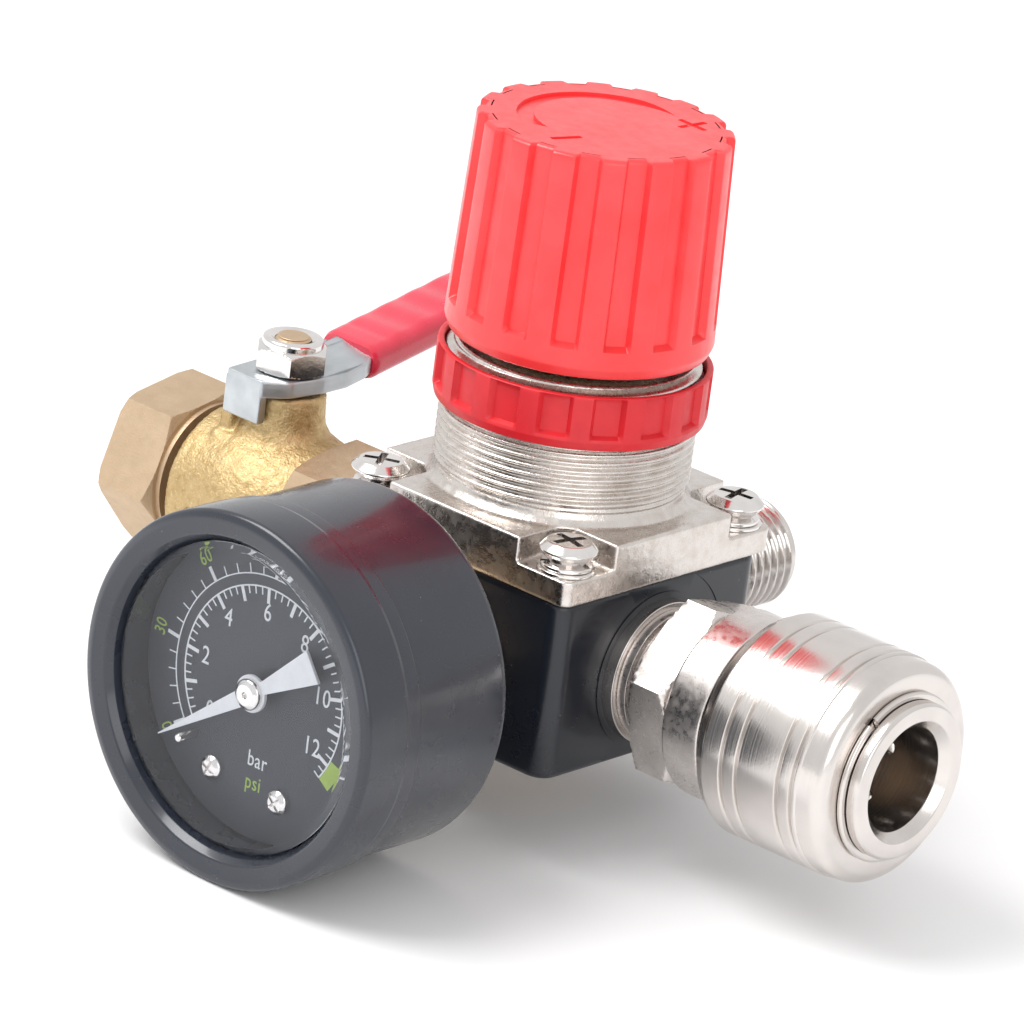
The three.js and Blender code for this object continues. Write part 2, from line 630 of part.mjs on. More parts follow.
// The lever's side outline, straight at the stem and rising at LEVER.slope behind the bend.
function leverOutline(start, end, below, above) {
  const { bottom, bend, slope } = LEVER;
  const rise = (y) => bottom + Math.max(0, y - bend) * Math.tan(THREE.MathUtils.degToRad(slope));
  const stations = [start, ...(start < bend ? [bend] : []), end];
  const lower = stations.map((y) => [y, rise(y) - below]);
  const upper = [...stations].reverse().map((y) => [y, rise(y) + above]);
  return polygon([...lower, ...upper]);
}

// Extrudes an outline drawn in the YZ plane along X, centred on the valve's stem.
function sideways(shape, width) {
  const geometry = prism(shape, -width / 2, width / 2);
  return geometry.rotateY(Math.PI / 2).rotateX(Math.PI / 2).translate(VALVE.centre, 0, 0);
}

function valveLever() {
  const { bottom, thickness, width, tip } = LEVER;
  const { centre } = VALVE;
  const arm = sideways(leverOutline(-6.3, GRIP.start + 3, 0, thickness), width);
  const tang = sideways(leverOutline(GRIP.start, tip, 0, thickness), width - 2 * GRIP.skin - 0.6);
  const stopTab = box(centre - 4.3, centre + 1.5, -6.3, -5, bottom - 3.4, bottom + thickness);
  return cut(join(arm, tang, stopTab), rod("z", 2.3, bottom - 1, bottom + 4, 16).translate(centre, 0, 0));
}

function leverGrip() {
  const { thickness, width } = LEVER;
  const { start, end, skin } = GRIP;
  const outer = sideways(leverOutline(start + 3.3, end, skin + CLEARANCE, thickness + skin + CLEARANCE), GRIP.width);
  const pocket = sideways(
    leverOutline(start, LEVER.tip + CLEARANCE, CLEARANCE, thickness + CLEARANCE),
    width - 2 * skin,
  );
  return cut(outer, pocket);
}

function stemNut() {
  const seat = LEVER.bottom + LEVER.thickness;
  const nut = join(hexPrism("z", 8, seat, seat + 3, 12), rod("z", 3.8, seat + 2.9, seat + 4.2, 16));
  return cut(nut, rod("z", 2.3, seat - 1, seat + 5, 16)).translate(VALVE.centre, 0, 0);
}

function ballValve() {
  const group = new THREE.Group();
  const { centre } = VALVE;
  group.add(part("valve_body", valveBody(), BRASS));
  group.add(part("valve_end", valveEnd(), BRASS));
  group.add(part("valve_ball", valveBall(), CHROME));
  group.add(part("ball_seat_1", ring("x", 4.5, 6.5, centre + 5, centre + 6.5, 16), PTFE));
  group.add(part("ball_seat_2", ring("x", 4.5, 6.5, centre - 6.5, centre - 5, 16), PTFE));
  group.add(part("valve_stem", valveStem(), BRASS));
  group.add(part("stem_packing", ring("z", 2.3, 3.3, VALVE.bossTop - 3, VALVE.bossTop - 0.2, 16).translate(centre, 0, 0), PTFE));
  group.add(part("valve_lever", valveLever(), ZINC));
  group.add(part("lever_grip", leverGrip(), RED_VINYL));
  group.add(part("stem_nut", stemNut(), CHROME));
  group.position.z = -OUTLET_DROP;
  return group;
}

// ---------------------------------------------------------------- assembly

const assembly = new THREE.Group();
assembly.position.y = -INLET_END;
assembly.add(regulator(), gauge(), quickCoupler(), ballValve());

const group = new THREE.Group();
group.add(assembly);

export default group;
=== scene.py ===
"""The looks of the air pressure regulator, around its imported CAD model.

Shapes are drawn in millimetres around the middle of the regulator's body, with z = 0 on the axis of
the inlet and the gauge, and make_piece() moves them into the row frame in metres. The gauge looks
along -Y, the quick coupler along +X, the ball valve along -X and the inlet nipple along +Y. The
coupler and the valve share a lower axis, and outlet_piece() moves them down to it.
"""

import json
import math

import bmesh
import bpy
from mathutils import Matrix, Vector, noise


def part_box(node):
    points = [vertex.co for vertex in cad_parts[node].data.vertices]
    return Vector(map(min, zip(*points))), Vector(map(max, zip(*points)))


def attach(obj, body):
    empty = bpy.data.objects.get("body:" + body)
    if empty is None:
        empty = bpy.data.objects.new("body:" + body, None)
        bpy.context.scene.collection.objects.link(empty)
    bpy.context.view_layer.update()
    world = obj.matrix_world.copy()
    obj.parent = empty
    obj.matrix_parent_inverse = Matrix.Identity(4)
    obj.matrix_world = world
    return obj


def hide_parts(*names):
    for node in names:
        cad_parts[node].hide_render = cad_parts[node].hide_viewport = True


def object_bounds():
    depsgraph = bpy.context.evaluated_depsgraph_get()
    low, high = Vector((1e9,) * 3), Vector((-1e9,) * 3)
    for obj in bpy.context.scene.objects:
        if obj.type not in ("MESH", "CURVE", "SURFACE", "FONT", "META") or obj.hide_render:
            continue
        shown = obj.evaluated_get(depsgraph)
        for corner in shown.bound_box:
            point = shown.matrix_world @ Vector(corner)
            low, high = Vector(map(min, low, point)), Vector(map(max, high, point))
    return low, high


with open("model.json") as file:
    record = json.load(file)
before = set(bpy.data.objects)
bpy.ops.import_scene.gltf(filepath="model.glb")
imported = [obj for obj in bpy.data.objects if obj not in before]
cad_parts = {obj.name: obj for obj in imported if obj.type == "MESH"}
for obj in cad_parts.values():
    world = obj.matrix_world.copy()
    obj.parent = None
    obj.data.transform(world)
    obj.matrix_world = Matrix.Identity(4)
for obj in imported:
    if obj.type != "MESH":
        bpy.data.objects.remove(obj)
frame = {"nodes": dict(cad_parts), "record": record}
CAD_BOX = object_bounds()

MM = 0.001
TURN = 2 * math.pi


def body_centre():
    """The middle of the regulator's body in millimetres, on the axis of the inlet and the gauge."""
    low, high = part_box("body_block")
    middle = (low + high) / 2 / MM
    return Vector((middle.x, middle.y, 0))


CENTRE = body_centre()
TO_ROW_FRAME = Matrix.Scale(MM, 4) @ Matrix.Translation(CENTRE)

# ------------------------------------------------------------------ driving dimensions, in mm

BODY = {"half": 17.1, "bottom": -11.6, "top": 9.8, "corner": 2.4}
FLANGE = {"half": 17.8, "top": 15.9, "corner": 1.4, "pocket": 9.9, "pocket_floor": 12.9}
NECK = {"radius": 14.8, "root": 17.4, "top": 32.4, "pitch": 1.0}
SCREW = {"place": 14.4, "head": 3.4, "top": 16.5}
NUT = {"bottom": 25.3, "top": 31.7, "radius": 15.75, "bore": 14.95, "pockets": 16}
KNOB = {"bottom": 33.6, "top": 59.05, "low": 15.4, "high": 14.6, "grooves": 16}
GAUGE = {"bezel": 21.5, "case": 20.8, "front": -52.7, "bezel_back": -43.8, "back": -28.5}
DIAL = {"front": -46.0, "radius": 17.5}
SCALE = {"zero": 214.0, "degrees_per_bar": 20.0, "degrees_per_psi": 1.379}
POINTER = {"angle": 216, "length": 15.9, "tail": 10.4, "back": -47.6, "front": -48.0}
OUTLET_DROP = 1.2  # the coupler's and the valve's axis lies this far below the gauge's
COUPLER = {
    "washer_end": 18.6, "hex_start": 22.6, "hex_end": 28.3, "collar_end": 33.6, "mouth": 55.2,
    "bore": 6.15, "corner": 45,
}
SLEEVE = {"back": 34.6, "front": 52.9, "radius": 13.26, "cavity": 11.55, "cavity_end": 41.2}
VALVE = {
    "centre": -42.4, "outlet": -61.5, "body_start": -26.0, "hex_end": -34.6, "boss_top": 14.4,
    "corner": 10,
}
LEVER = {"bottom": 14.7, "thickness": 2.0, "width": 8.6, "bend": 5.5, "slope": 11.0}
GRIP = {"start": 10.0, "end": 62.5, "width": 8.8, "skin": 1.05}
INLET_END = 38.5
PIPE_THREAD = {"pitch": 1.337, "major": 6.58}  # G1/4

# ------------------------------------------------------------------ outlines


def arc_points(before, corner, after, radius, steps):
    """Points of a round of that radius in the corner of an outline."""
    corner = Vector(corner[:2])
    towards = [(Vector(point[:2]) - corner) for point in (before, after)]
    reach = min(side.length for side in towards) * 0.49
    a, b = [side.normalized() for side in towards]
    half = a.angle(b) / 2
    if half > 1.56:
        return [tuple(corner)]
    setback = min(radius / math.tan(half), reach)
    radius = setback * math.tan(half)
    centre = corner + (a + b).normalized() * (radius / math.sin(half))
    start = corner + a * setback - centre
    end = corner + b * setback - centre
    sweep = start.angle(end)
    points = []
    for i in range(steps + 1):
        share = i / steps
        first = math.sin((1 - share) * sweep) / math.sin(sweep)
        second = math.sin(share * sweep) / math.sin(sweep)
        points.append(tuple(centre + start * first + end * second))
    return points


def rounded(corners, steps=5):
    """A closed outline. A corner given as (u, v, radius) is rounded by that radius."""
    outline = []
    for i, corner in enumerate(corners):
        if len(corner) == 2 or corner[2] == 0:
            outline.append(tuple(corner[:2]))
            continue
        before = corners[i - 1]
        after = corners[(i + 1) % len(corners)]
        outline.extend(arc_points(before, corner, after, corner[2], steps))
    return outline


def densified(outline, step):
    """The closed outline with points added so that no side is longer than step."""
    dense = []
    for i, point in enumerate(outline):
        following = outline[(i + 1) % len(outline)]
        on_axis = point[0] < 1e-6 and following[0] < 1e-6
        parts = 1 if on_axis else max(1, math.ceil(math.dist(point, following) / step))
        for k in range(parts):
            share = k / parts
            dense.append(tuple(a + (b - a) * share for a, b in zip(point, following)))
    return dense


def rounded_rectangle(half_width, half_height, corner, steps=6):
    corner = max(corner, 0.02)
    signs = [(1, 1), (-1, 1), (-1, -1), (1, -1)]
    return rounded([(sx * half_width, sy * half_height, corner) for sx, sy in signs], steps)


# ------------------------------------------------------------------ meshes


def place(axis, radius, angle, station):
    u = radius * math.cos(angle)
    v = radius * math.sin(angle)
    return {"x": (station, u, v), "y": (v, station, u), "z": (u, v, station)}[axis]


def bridge(bm, first, second):
    """Faces between two rings of points. Either ring may be a single point."""
    count = max(len(first), len(second))
    if count == 1:
        return
    for i in range(count):
        k = (i + 1) % count
        near = [first[i % len(first)], first[k % len(first)]]
        far = [second[k % len(second)], second[i % len(second)]]
        bm.faces.new(list(dict.fromkeys(near + far)))


def turned(axis, outline, segments=128, shape=None, start=0.0):
    """A turned closed surface. Outline is a loop of (radius, station), and shape(radius, station,
    angle) may change the radius there."""
    bm = bmesh.new()
    rings = []
    for radius, station in outline:
        if radius < 1e-6:
            rings.append([bm.verts.new(place(axis, 0, 0, station))])
            continue
        ring = []
        for i in range(segments):
            angle = start + i * TURN / segments
            reach = shape(radius, station, angle) if shape else radius
            ring.append(bm.verts.new(place(axis, reach, angle, station)))
        rings.append(ring)
    for i, ring in enumerate(rings):
        bridge(bm, ring, rings[(i + 1) % len(rings)])
    bmesh.ops.recalc_face_normals(bm, faces=bm.faces)
    return bm


def revolved(axis, corners, segments=128, steps=5):
    """A turned surface whose outline is given by its corners, as rounded() takes them."""
    return turned(axis, rounded(corners, steps), segments)


def lofted(sections):
    """A closed surface through rings of 3-D points, with a flat face on each end."""
    bm = bmesh.new()
    rings = [[bm.verts.new(point) for point in section] for section in sections]
    for first, second in zip(rings, rings[1:]):
        bridge(bm, first, second)
    bm.faces.new(rings[0])
    bm.faces.new(rings[-1])
    bmesh.ops.recalc_face_normals(bm, faces=bm.faces)
    return bm


def prism(outline_at, low, high, edge=0.3, steps=3):
    """An outline extruded along z with rounded rims. outline_at(inset) gives the outline."""
    levels = []
    for i in range(steps + 1):
        angle = i / steps * math.pi / 2
        levels.append((edge * (1 - math.sin(angle)), edge * (1 - math.cos(angle))))
    stations = [(inset, low + rise) for inset, rise in levels]
    stations += [(inset, high - rise) for inset, rise in reversed(levels)]
    return lofted([[(u, v, station) for u, v in outline_at(inset)] for inset, station in stations])


def block(low, high, edge=0.0):
    """A box between two corners, its edges along z rounded."""
    middle = [(a + b) / 2 for a, b in zip(low, high)]
    half = [(b - a) / 2 for a, b in zip(low, high)]

    def outline_at(inset):
        outline = rounded_rectangle(half[0] - inset, half[1] - inset, max(edge - inset, 0.02))
        return [(u + middle[0], v + middle[1]) for u, v in outline]

    return prism(outline_at, low[2], high[2], max(edge, 0.02))


def hexagon(across_flats, corner):
    """shape() of a hexagon with a corner at that angle, for turned()."""
    third = math.pi / 3

    def shape(radius, station, angle):
        offset = (angle - corner) % third - third / 2
        return min(radius, across_flats / 2 / math.cos(offset))

    return shape


def thread_wave(station, angle, pitch):
    """Height of a screw thread from 0 at its root to 1 at its crest."""
    phase = (station / pitch - angle / TURN) % 1.0
    ridge = 1 - abs(2 * phase - 1)
    return min(1.0, max(0.0, ridge * 1.5 - 0.2))


def moved(bm, x=0.0, y=0.0, z=0.0):
    bmesh.ops.translate(bm, vec=(x, y, z), verts=bm.verts)
    return bm


def spun(bm, axis, degrees, about=(0, 0, 0)):
    matrix = Matrix.Rotation(math.radians(degrees), 3, axis)
    bmesh.ops.rotate(bm, cent=about, matrix=matrix, verts=bm.verts)
    return bm


def together(first, *others):
    """The meshes of several shapes in one, without joining their surfaces."""
    for other in others:
        mesh = bpy.data.meshes.new("part")
        other.to_mesh(mesh)
        other.free()
        first.from_mesh(mesh)
        bpy.data.meshes.remove(mesh)
    return first


def temporary_object(bm):
    mesh = bpy.data.meshes.new("temporary")
    bm.to_mesh(mesh)
    bm.free()
    thing = bpy.data.objects.new("temporary", mesh)
    bpy.context.collection.objects.link(thing)
    return thing


def discard(thing):
    mesh = thing.data
    bpy.data.objects.remove(thing)
    bpy.data.meshes.remove(mesh)


def applied(thing):
    """A bmesh of the object with its modifiers applied. The object is removed."""
    result = bmesh.new()
    result.from_object(thing, bpy.context.evaluated_depsgraph_get())
    discard(thing)
    return result


def combined(base, tools, operation):
    thing = temporary_object(base)
    helpers = [temporary_object(tool) for tool in tools]
    for helper in helpers:
        modifier = thing.modifiers.new("boolean", "BOOLEAN")
        modifier.operation = operation
        modifier.solver = "EXACT"
        modifier.object = helper
    result = applied(thing)
    for helper in helpers:
        discard(helper)
    return result


def cut(base, *tools):
    return combined(base, tools, "DIFFERENCE")


def joined(base, *others):
    return combined(base, others, "UNION")


def cast(bm, voxel, smoothing, grain=0.0, grain_size=1.0):
    """The shape as a casting: remeshed, its edges softened, its skin uneven by up to grain mm."""
    thing = temporary_object(bm)
    remesh = thing.modifiers.new("remesh", "REMESH")
    remesh.mode = "VOXEL"
    remesh.voxel_size = voxel
    smooth = thing.modifiers.new("smooth", "SMOOTH")
    smooth.factor = 0.5
    smooth.iterations = smoothing
    result = applied(thing)
    result.normal_update()
    for vertex in result.verts:
        height = noise.fractal(vertex.co / grain_size, 0.8, 2.0, 3)
        vertex.co += vertex.normal * height * grain
    return result


# ------------------------------------------------------------------ materials


class Finish:
    """A Principled material under construction, with the textures that vary it.

    All textures read Object coordinates, which are metres in the row frame."""

    def __init__(self, name, color, roughness, metallic=0.0, **sockets):
        self.material = bpy.data.materials.new(name)
        self.material.use_nodes = True
        self.tree = self.material.node_tree
        self.shader = self.tree.nodes["Principled BSDF"]
        self.color = color
        self.shader.inputs["Base Color"].default_value = (*color, 1)
        self.shader.inputs["Roughness"].default_value = roughness
        self.shader.inputs["Metallic"].default_value = metallic
        for socket, value in sockets.items():
            self.shader.inputs[socket.replace("_", " ")].default_value = value
        self.coordinates = self.tree.nodes.new("ShaderNodeTexCoord").outputs["Object"]

    def node(self, kind, **settings):
        made = self.tree.nodes.new(kind)
        for name, value in settings.items():
            setattr(made, name, value)
        return made

    def link(self, output, socket):
        self.tree.links.new(output, socket)

    def noise(self, scale, detail=3.0, stretch=(1, 1, 1)):
        """Noise with features of about 1 / scale metres, drawn out along an axis by stretch."""
        mapping = self.node("ShaderNodeMapping")
        mapping.inputs["Scale"].default_value = stretch
        texture = self.node("ShaderNodeTexNoise")
        texture.inputs["Scale"].default_value = scale
        texture.inputs["Detail"].default_value = detail
        self.link(self.coordinates, mapping.inputs["Vector"])
        self.link(mapping.outputs["Vector"], texture.inputs["Vector"])
        return texture.outputs["Fac"]

    def cells(self, scale):
        """Distance to the nearest of scattered points, about 1 / scale metres apart."""
        texture = self.node("ShaderNodeTexVoronoi")
        texture.inputs["Scale"].default_value = scale
        self.link(self.coordinates, texture.inputs["Vector"])
        return texture.outputs["Distance"]

    def lathe_marks(self, axis, centre, scale):
        """Fine rings about an axis, along it on its sides and outwards on its ends."""
        mapping = self.node("ShaderNodeMapping")
        mapping.inputs["Location"].default_value = [-value for value in centre]
        self.link(self.coordinates, mapping.inputs["Vector"])
        split = self.node("ShaderNodeSeparateXYZ")
        self.link(mapping.outputs["Vector"], split.inputs["Vector"])
        across = self.node("ShaderNodeCombineXYZ")
        for name in "XYZ".replace(axis.upper(), ""):
            self.link(split.outputs[name], across.inputs[name])
        radius = self.node("ShaderNodeVectorMath", operation="LENGTH")
        self.link(across.outputs["Vector"], radius.inputs[0])
        total = self.node("ShaderNodeMath", operation="ADD")
        self.link(radius.outputs["Value"], total.inputs[0])
        self.link(split.outputs[axis.upper()], total.inputs[1])
        texture = self.node("ShaderNodeTexNoise", noise_dimensions="1D")
        texture.inputs["Scale"].default_value = scale
        texture.inputs["Detail"].default_value = 4
        self.link(total.outputs["Value"], texture.inputs["W"])
        return texture.outputs["Fac"]

    def ramp(self, value, low, high, start=0.0, end=1.0):
        """The value's span from low to high, mapped to start to end."""
        mapped = self.node("ShaderNodeMapRange")
        mapped.inputs["From Min"].default_value = low
        mapped.inputs["From Max"].default_value = high
        mapped.inputs["To Min"].default_value = start
        mapped.inputs["To Max"].default_value = end
        self.link(value, mapped.inputs["Value"])
        return mapped.outputs["Result"]

    def tint(self, value, other, amount=1.0):
        """Mixes the colour towards another where the value is high."""
        mix = self.node("ShaderNodeMix", data_type="RGBA")
        socket = self.shader.inputs["Base Color"]
        if socket.is_linked:
            self.link(socket.links[0].from_socket, mix.inputs["A"])
        else:
            mix.inputs["A"].default_value = (*self.color, 1)
        mix.inputs["B"].default_value = (*other, 1)
        self.link(self.ramp(value, 0, 1, 0, amount), mix.inputs["Factor"])
        self.link(mix.outputs["Result"], socket)
        return self

    def clouds(self, scale, detail, low, high, other):
        """Mixes the colour towards another where a noise lies above low to high."""
        return self.tint(self.ramp(self.noise(scale, detail), low, high), other)

    def grain(self, scale, detail, height, strength):
        return self.bump(self.noise(scale, detail), height, strength)

    def vary_roughness(self, value, low, high):
        self.link(self.ramp(value, 0.3, 0.7, low, high), self.shader.inputs["Roughness"])
        return self

    def bump(self, value, height, strength=1.0):
        """Raises the surface by up to height metres where the value is high."""
        bump = self.node("ShaderNodeBump")
        bump.inputs["Strength"].default_value = strength
        bump.inputs["Distance"].default_value = height
        self.link(value, bump.inputs["Height"])
        socket = self.shader.inputs["Normal"]
        if socket.is_linked:
            self.link(socket.links[0].from_socket, bump.inputs["Normal"])
        self.link(bump.outputs["Normal"], socket)
        return self


def red_plastic():
    finish = Finish("red_plastic", (0.84, 0.032, 0.035), 0.36, Coat_Weight=0.25, Coat_Roughness=0.25)
    finish.clouds(160, 4, 0.35, 0.7, (0.9, 0.05, 0.055))
    finish.vary_roughness(finish.noise(700, 4), 0.3, 0.42)
    finish.grain(900, 3, 0.00003, 0.5)
    return finish.material


def red_vinyl():
    finish = Finish("red_vinyl", (0.62, 0.02, 0.05), 0.22, Coat_Weight=0.5, Coat_Roughness=0.08)
    finish.clouds(220, 3, 0.3, 0.7, (0.7, 0.03, 0.07))
    finish.vary_roughness(finish.noise(500, 4), 0.18, 0.3)
    finish.grain(260, 3, 0.00012, 0.5)
    return finish.material


def black_paint(name, color, roughness, coat):
    """Gloss paint with a little orange peel and the odd speck of dust."""
    finish = Finish(name, color, roughness, Coat_Weight=coat, Coat_Roughness=0.1)
    specks = finish.ramp(finish.cells(420), 0.045, 0.015)
    finish.clouds(90, 3, 0.3, 0.7, [value * 1.3 for value in color])
    finish.tint(specks, (0.2, 0.2, 0.22), 0.7)
    finish.vary_roughness(finish.noise(260, 4), roughness * 0.85, roughness * 1.15)
    finish.grain(900, 2, 0.00001, 0.3)
    finish.bump(specks, 0.00003, 0.5)
    return finish.material


def cast_nickel():
    finish = Finish("cast_nickel", (0.7, 0.655, 0.62), 0.25, 1.0)
    finish.clouds(500, 4, 0.45, 0.75, (0.6, 0.54, 0.49))
    finish.vary_roughness(finish.noise(900, 4), 0.2, 0.34)
    finish.grain(1300, 4, 0.00012, 0.35)
    finish.grain(5200, 3, 0.00004, 0.4)
    return finish.material


def turned_nickel(name="turned_nickel", axis="x", color=(0.72, 0.675, 0.645)):
    """Nickel plate over lathe marks about the outlets' axis, or about the inlet's for axis y."""
    finish = Finish(name, color, 0.2, 1.0)
    drop = OUTLET_DROP if axis == "x" else 0
    marks = finish.lathe_marks(axis, (CENTRE - Vector((0, 0, drop))) * MM, 5200)
    finish.clouds(180, 4, 0.4, 0.75, [value * 0.88 for value in color])
    finish.vary_roughness(marks, 0.15, 0.27)
    finish.bump(marks, 0.00001, 0.35)
    finish.grain(2600, 4, 0.00002, 0.3)
    return finish.material


def machined_brass():
    finish = Finish("machined_brass", (0.56, 0.42, 0.28), 0.5, 0.9)
    finish.clouds(350, 4, 0.4, 0.75, (0.62, 0.47, 0.32))
    finish.vary_roughness(finish.noise(1600, 4), 0.44, 0.58)
    finish.grain(4200, 4, 0.00006, 0.6)
    return finish.material


def cast_brass():
    finish = Finish("cast_brass", (0.58, 0.43, 0.22), 0.5, 1.0)
    finish.clouds(900, 5, 0.45, 0.7, (0.47, 0.33, 0.15))
    finish.clouds(3600, 3, 0.55, 0.75, (0.72, 0.58, 0.36))
    finish.vary_roughness(finish.noise(2200, 4), 0.42, 0.6)
    finish.grain(3400, 4, 0.00018, 0.7)
    return finish.material


def plain_metal(name, color, roughness, scale=900):
    finish = Finish(name, color, roughness, 1.0)
    finish.clouds(scale * 0.3, 4, 0.4, 0.75, [value * 0.85 for value in color])
    finish.vary_roughness(finish.noise(scale, 4), roughness * 0.7, roughness * 1.3)
    finish.grain(scale * 3, 3, 0.00002, 0.4)
    return finish.material


def zinc_plate():
    finish = Finish("zinc_plate", (0.56, 0.59, 0.61), 0.4, 1.0)
    finish.clouds(260, 4, 0.4, 0.7, (0.47, 0.5, 0.52))
    finish.vary_roughness(finish.noise(800, 4, (1, 0.12, 1)), 0.33, 0.5)
    finish.bump(finish.noise(2400, 4, (1, 0.1, 1)), 0.00005, 0.5)
    return finish.material


def plain_surface(name, color, roughness, other, scale=600, height=0.00003, **sockets):
    """A paint, rubber or plastic with a slightly clouded colour and a fine grain."""
    finish = Finish(name, color, roughness, **sockets)
    finish.clouds(scale, 4, 0.35, 0.7, other)
    finish.vary_roughness(finish.noise(scale * 2, 3), roughness * 0.85, roughness * 1.15)
    finish.grain(scale * 5, 3, height, 0.5)
    return finish.material


def clear_lens():
    finish = Finish("lens_clear", (0.97, 0.98, 1.0), 0.02, Transmission_Weight=1.0, IOR=1.3)
    return finish.material


MATERIALS = {
    "body_black": black_paint("body_black", (0.008, 0.01, 0.015), 0.3, 0.15),
    "gauge_black": black_paint("gauge_black", (0.014, 0.017, 0.026), 0.28, 0.4),
    "cast_nickel": cast_nickel(),
    "turned_nickel": turned_nickel(),
    "screw_chrome": plain_metal("screw_chrome", (0.82, 0.79, 0.77), 0.14),
    "steel": plain_metal("steel", (0.5, 0.5, 0.5), 0.32),
    "zinc_plate": zinc_plate(),
    "cast_brass": cast_brass(),
    "machined_brass": machined_brass(),
    "red_plastic": red_plastic(),
    "red_vinyl": red_vinyl(),
    "black_rubber": plain_surface("black_rubber", (0.012, 0.012, 0.012), 0.6, (0.02, 0.02, 0.02)),
    "dial_paint": plain_surface("dial_paint", (0.05, 0.055, 0.07), 0.5, (0.055, 0.06, 0.076), 900, 0.000002),
    "pointer_paint": plain_surface("pointer_paint", (0.86, 0.87, 0.9), 0.4, (0.8, 0.81, 0.84)),
    "lens_clear": clear_lens(),
    "ptfe_white": plain_surface("ptfe_white", (0.8, 0.79, 0.75), 0.45, (0.7, 0.69, 0.65)),
}
PRINT_WHITE = plain_surface("print_white", (0.85, 0.86, 0.88), 0.5, (0.78, 0.8, 0.82), 3000, 0.000005)
PRINT_GREEN = plain_surface("print_green", (0.36, 0.5, 0.09), 0.5, (0.42, 0.58, 0.12), 3000, 0.000005)
INLET_NICKEL = turned_nickel("inlet_nickel", "y")
COUPLER_NICKEL = plain_metal("coupler_nickel", (0.74, 0.69, 0.66), 0.3, 1200)
RED_NUT = plain_surface("red_nut", (0.66, 0.014, 0.022), 0.42, (0.6, 0.011, 0.02), 300, 0.00003)

# ------------------------------------------------------------------ pieces


def make_piece(name, bm, slot, body="root", nodes=(), material=None, crease=32):
    """A piece from a shape in mm: scaled to the row frame, shaded, painted and riding on its body."""
    bmesh.ops.transform(bm, matrix=TO_ROW_FRAME, verts=bm.verts)
    for face in bm.faces:
        face.smooth = True
    limit = math.radians(crease)
    for edge in bm.edges:
        edge.smooth = edge.calc_face_angle(0.0) < limit
    mesh = bpy.data.meshes.new(name)
    bm.to_mesh(mesh)
    bm.free()
    mesh.materials.append(material or MATERIALS[slot])
    piece = bpy.data.objects.new(name, mesh)
    bpy.context.collection.objects.link(piece)
    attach(piece, body)
    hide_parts(*nodes)


def outlet_piece(name, bm, *rest, **more):
    """A piece drawn around the outlets' own axis."""
    make_piece(name, moved(bm, z=-OUTLET_DROP), *rest, **more)


def corner_places():
    place_at = SCREW["place"]
    return [(place_at, place_at), (-place_at, place_at), (-place_at, -place_at), (place_at, -place_at)]


# ---- body, bonnet and screws


def body_block():
    half, corner = BODY["half"], BODY["corner"]

    def outline_at(inset):
        return rounded_rectangle(half - inset, half - inset, corner - inset * 0.5, 8)

    bm = prism(outline_at, BODY["bottom"], BODY["top"] - 0.05, 0.9, 5)
    port, gauge_port, plug_port = 6.5, 5, 6.6
    deep, past = 8, 1
    spot, spot_width, spot_depth = 11.9, 2.6, 0.12
    plug_hole = [(0, BODY["bottom"] - past), (plug_port, BODY["bottom"] - past), (plug_port, -7), (0, -7)]

    def bore(axis, radius, low, high):
        return turned(axis, [(0, low), (radius, low), (radius, high), (0, high)], 64)

    holes = [
        bore("y", port, half - deep, half + past),
        bore("y", gauge_port, -half - past, -half + deep),
        turned("z", plug_hole, 64),
    ]
    for low, floor in ((half - deep, half - spot_depth), (-half - past, -half - past)):
        inner, top = spot - spot_width, floor + past + spot_depth
        face = turned("x", [(inner, floor), (spot, floor), (spot, top), (inner, top)], 96)
        port_hole = bore("x", port, low, low + deep + past)
        holes += [moved(port_hole, z=-OUTLET_DROP), moved(face, z=-OUTLET_DROP)]
    make_piece("body_block", cut(bm, *holes), "body_black", nodes=["body_block"])


def bonnet_flange():
    """The cast square flange: corner pockets for the screws, running in to the threaded neck."""
    half, corner = FLANGE["half"], FLANGE["corner"]

    def outline_at(inset):
        return rounded_rectangle(half - inset, half - inset, corner, 6)

    flange = prism(outline_at, BODY["top"] + 0.02, FLANGE["top"], 0.3)
    outside = half + 2
    for sx, sy in ((1, 1), (-1, 1), (-1, -1), (1, -1)):
        xs = sorted((sx * FLANGE["pocket"], sx * outside))
        ys = sorted((sy * FLANGE["pocket"], sy * outside))
        pocket = block((xs[0], ys[0], FLANGE["pocket_floor"]), (xs[1], ys[1], FLANGE["top"] + 2), 0.3)
        flange = cut(flange, pocket)
    radius = NECK["radius"]
    foot = revolved("z", [
        (0, BODY["top"] + 0.1), (radius - 0.4, BODY["top"] + 0.1), (radius - 0.4, FLANGE["top"] - 1),
        (radius + 0.5, FLANGE["top"] - 0.2), (radius - 0.35, FLANGE["top"] + 0.8),
        (radius - 0.5, NECK["root"]), (0, NECK["root"]),
    ], 128)
    body = cast(joined(flange, foot), 0.2, 2, 0.022, 1.3)
    make_piece("bonnet_flange", body, "cast_nickel", nodes=["bonnet"], crease=60)


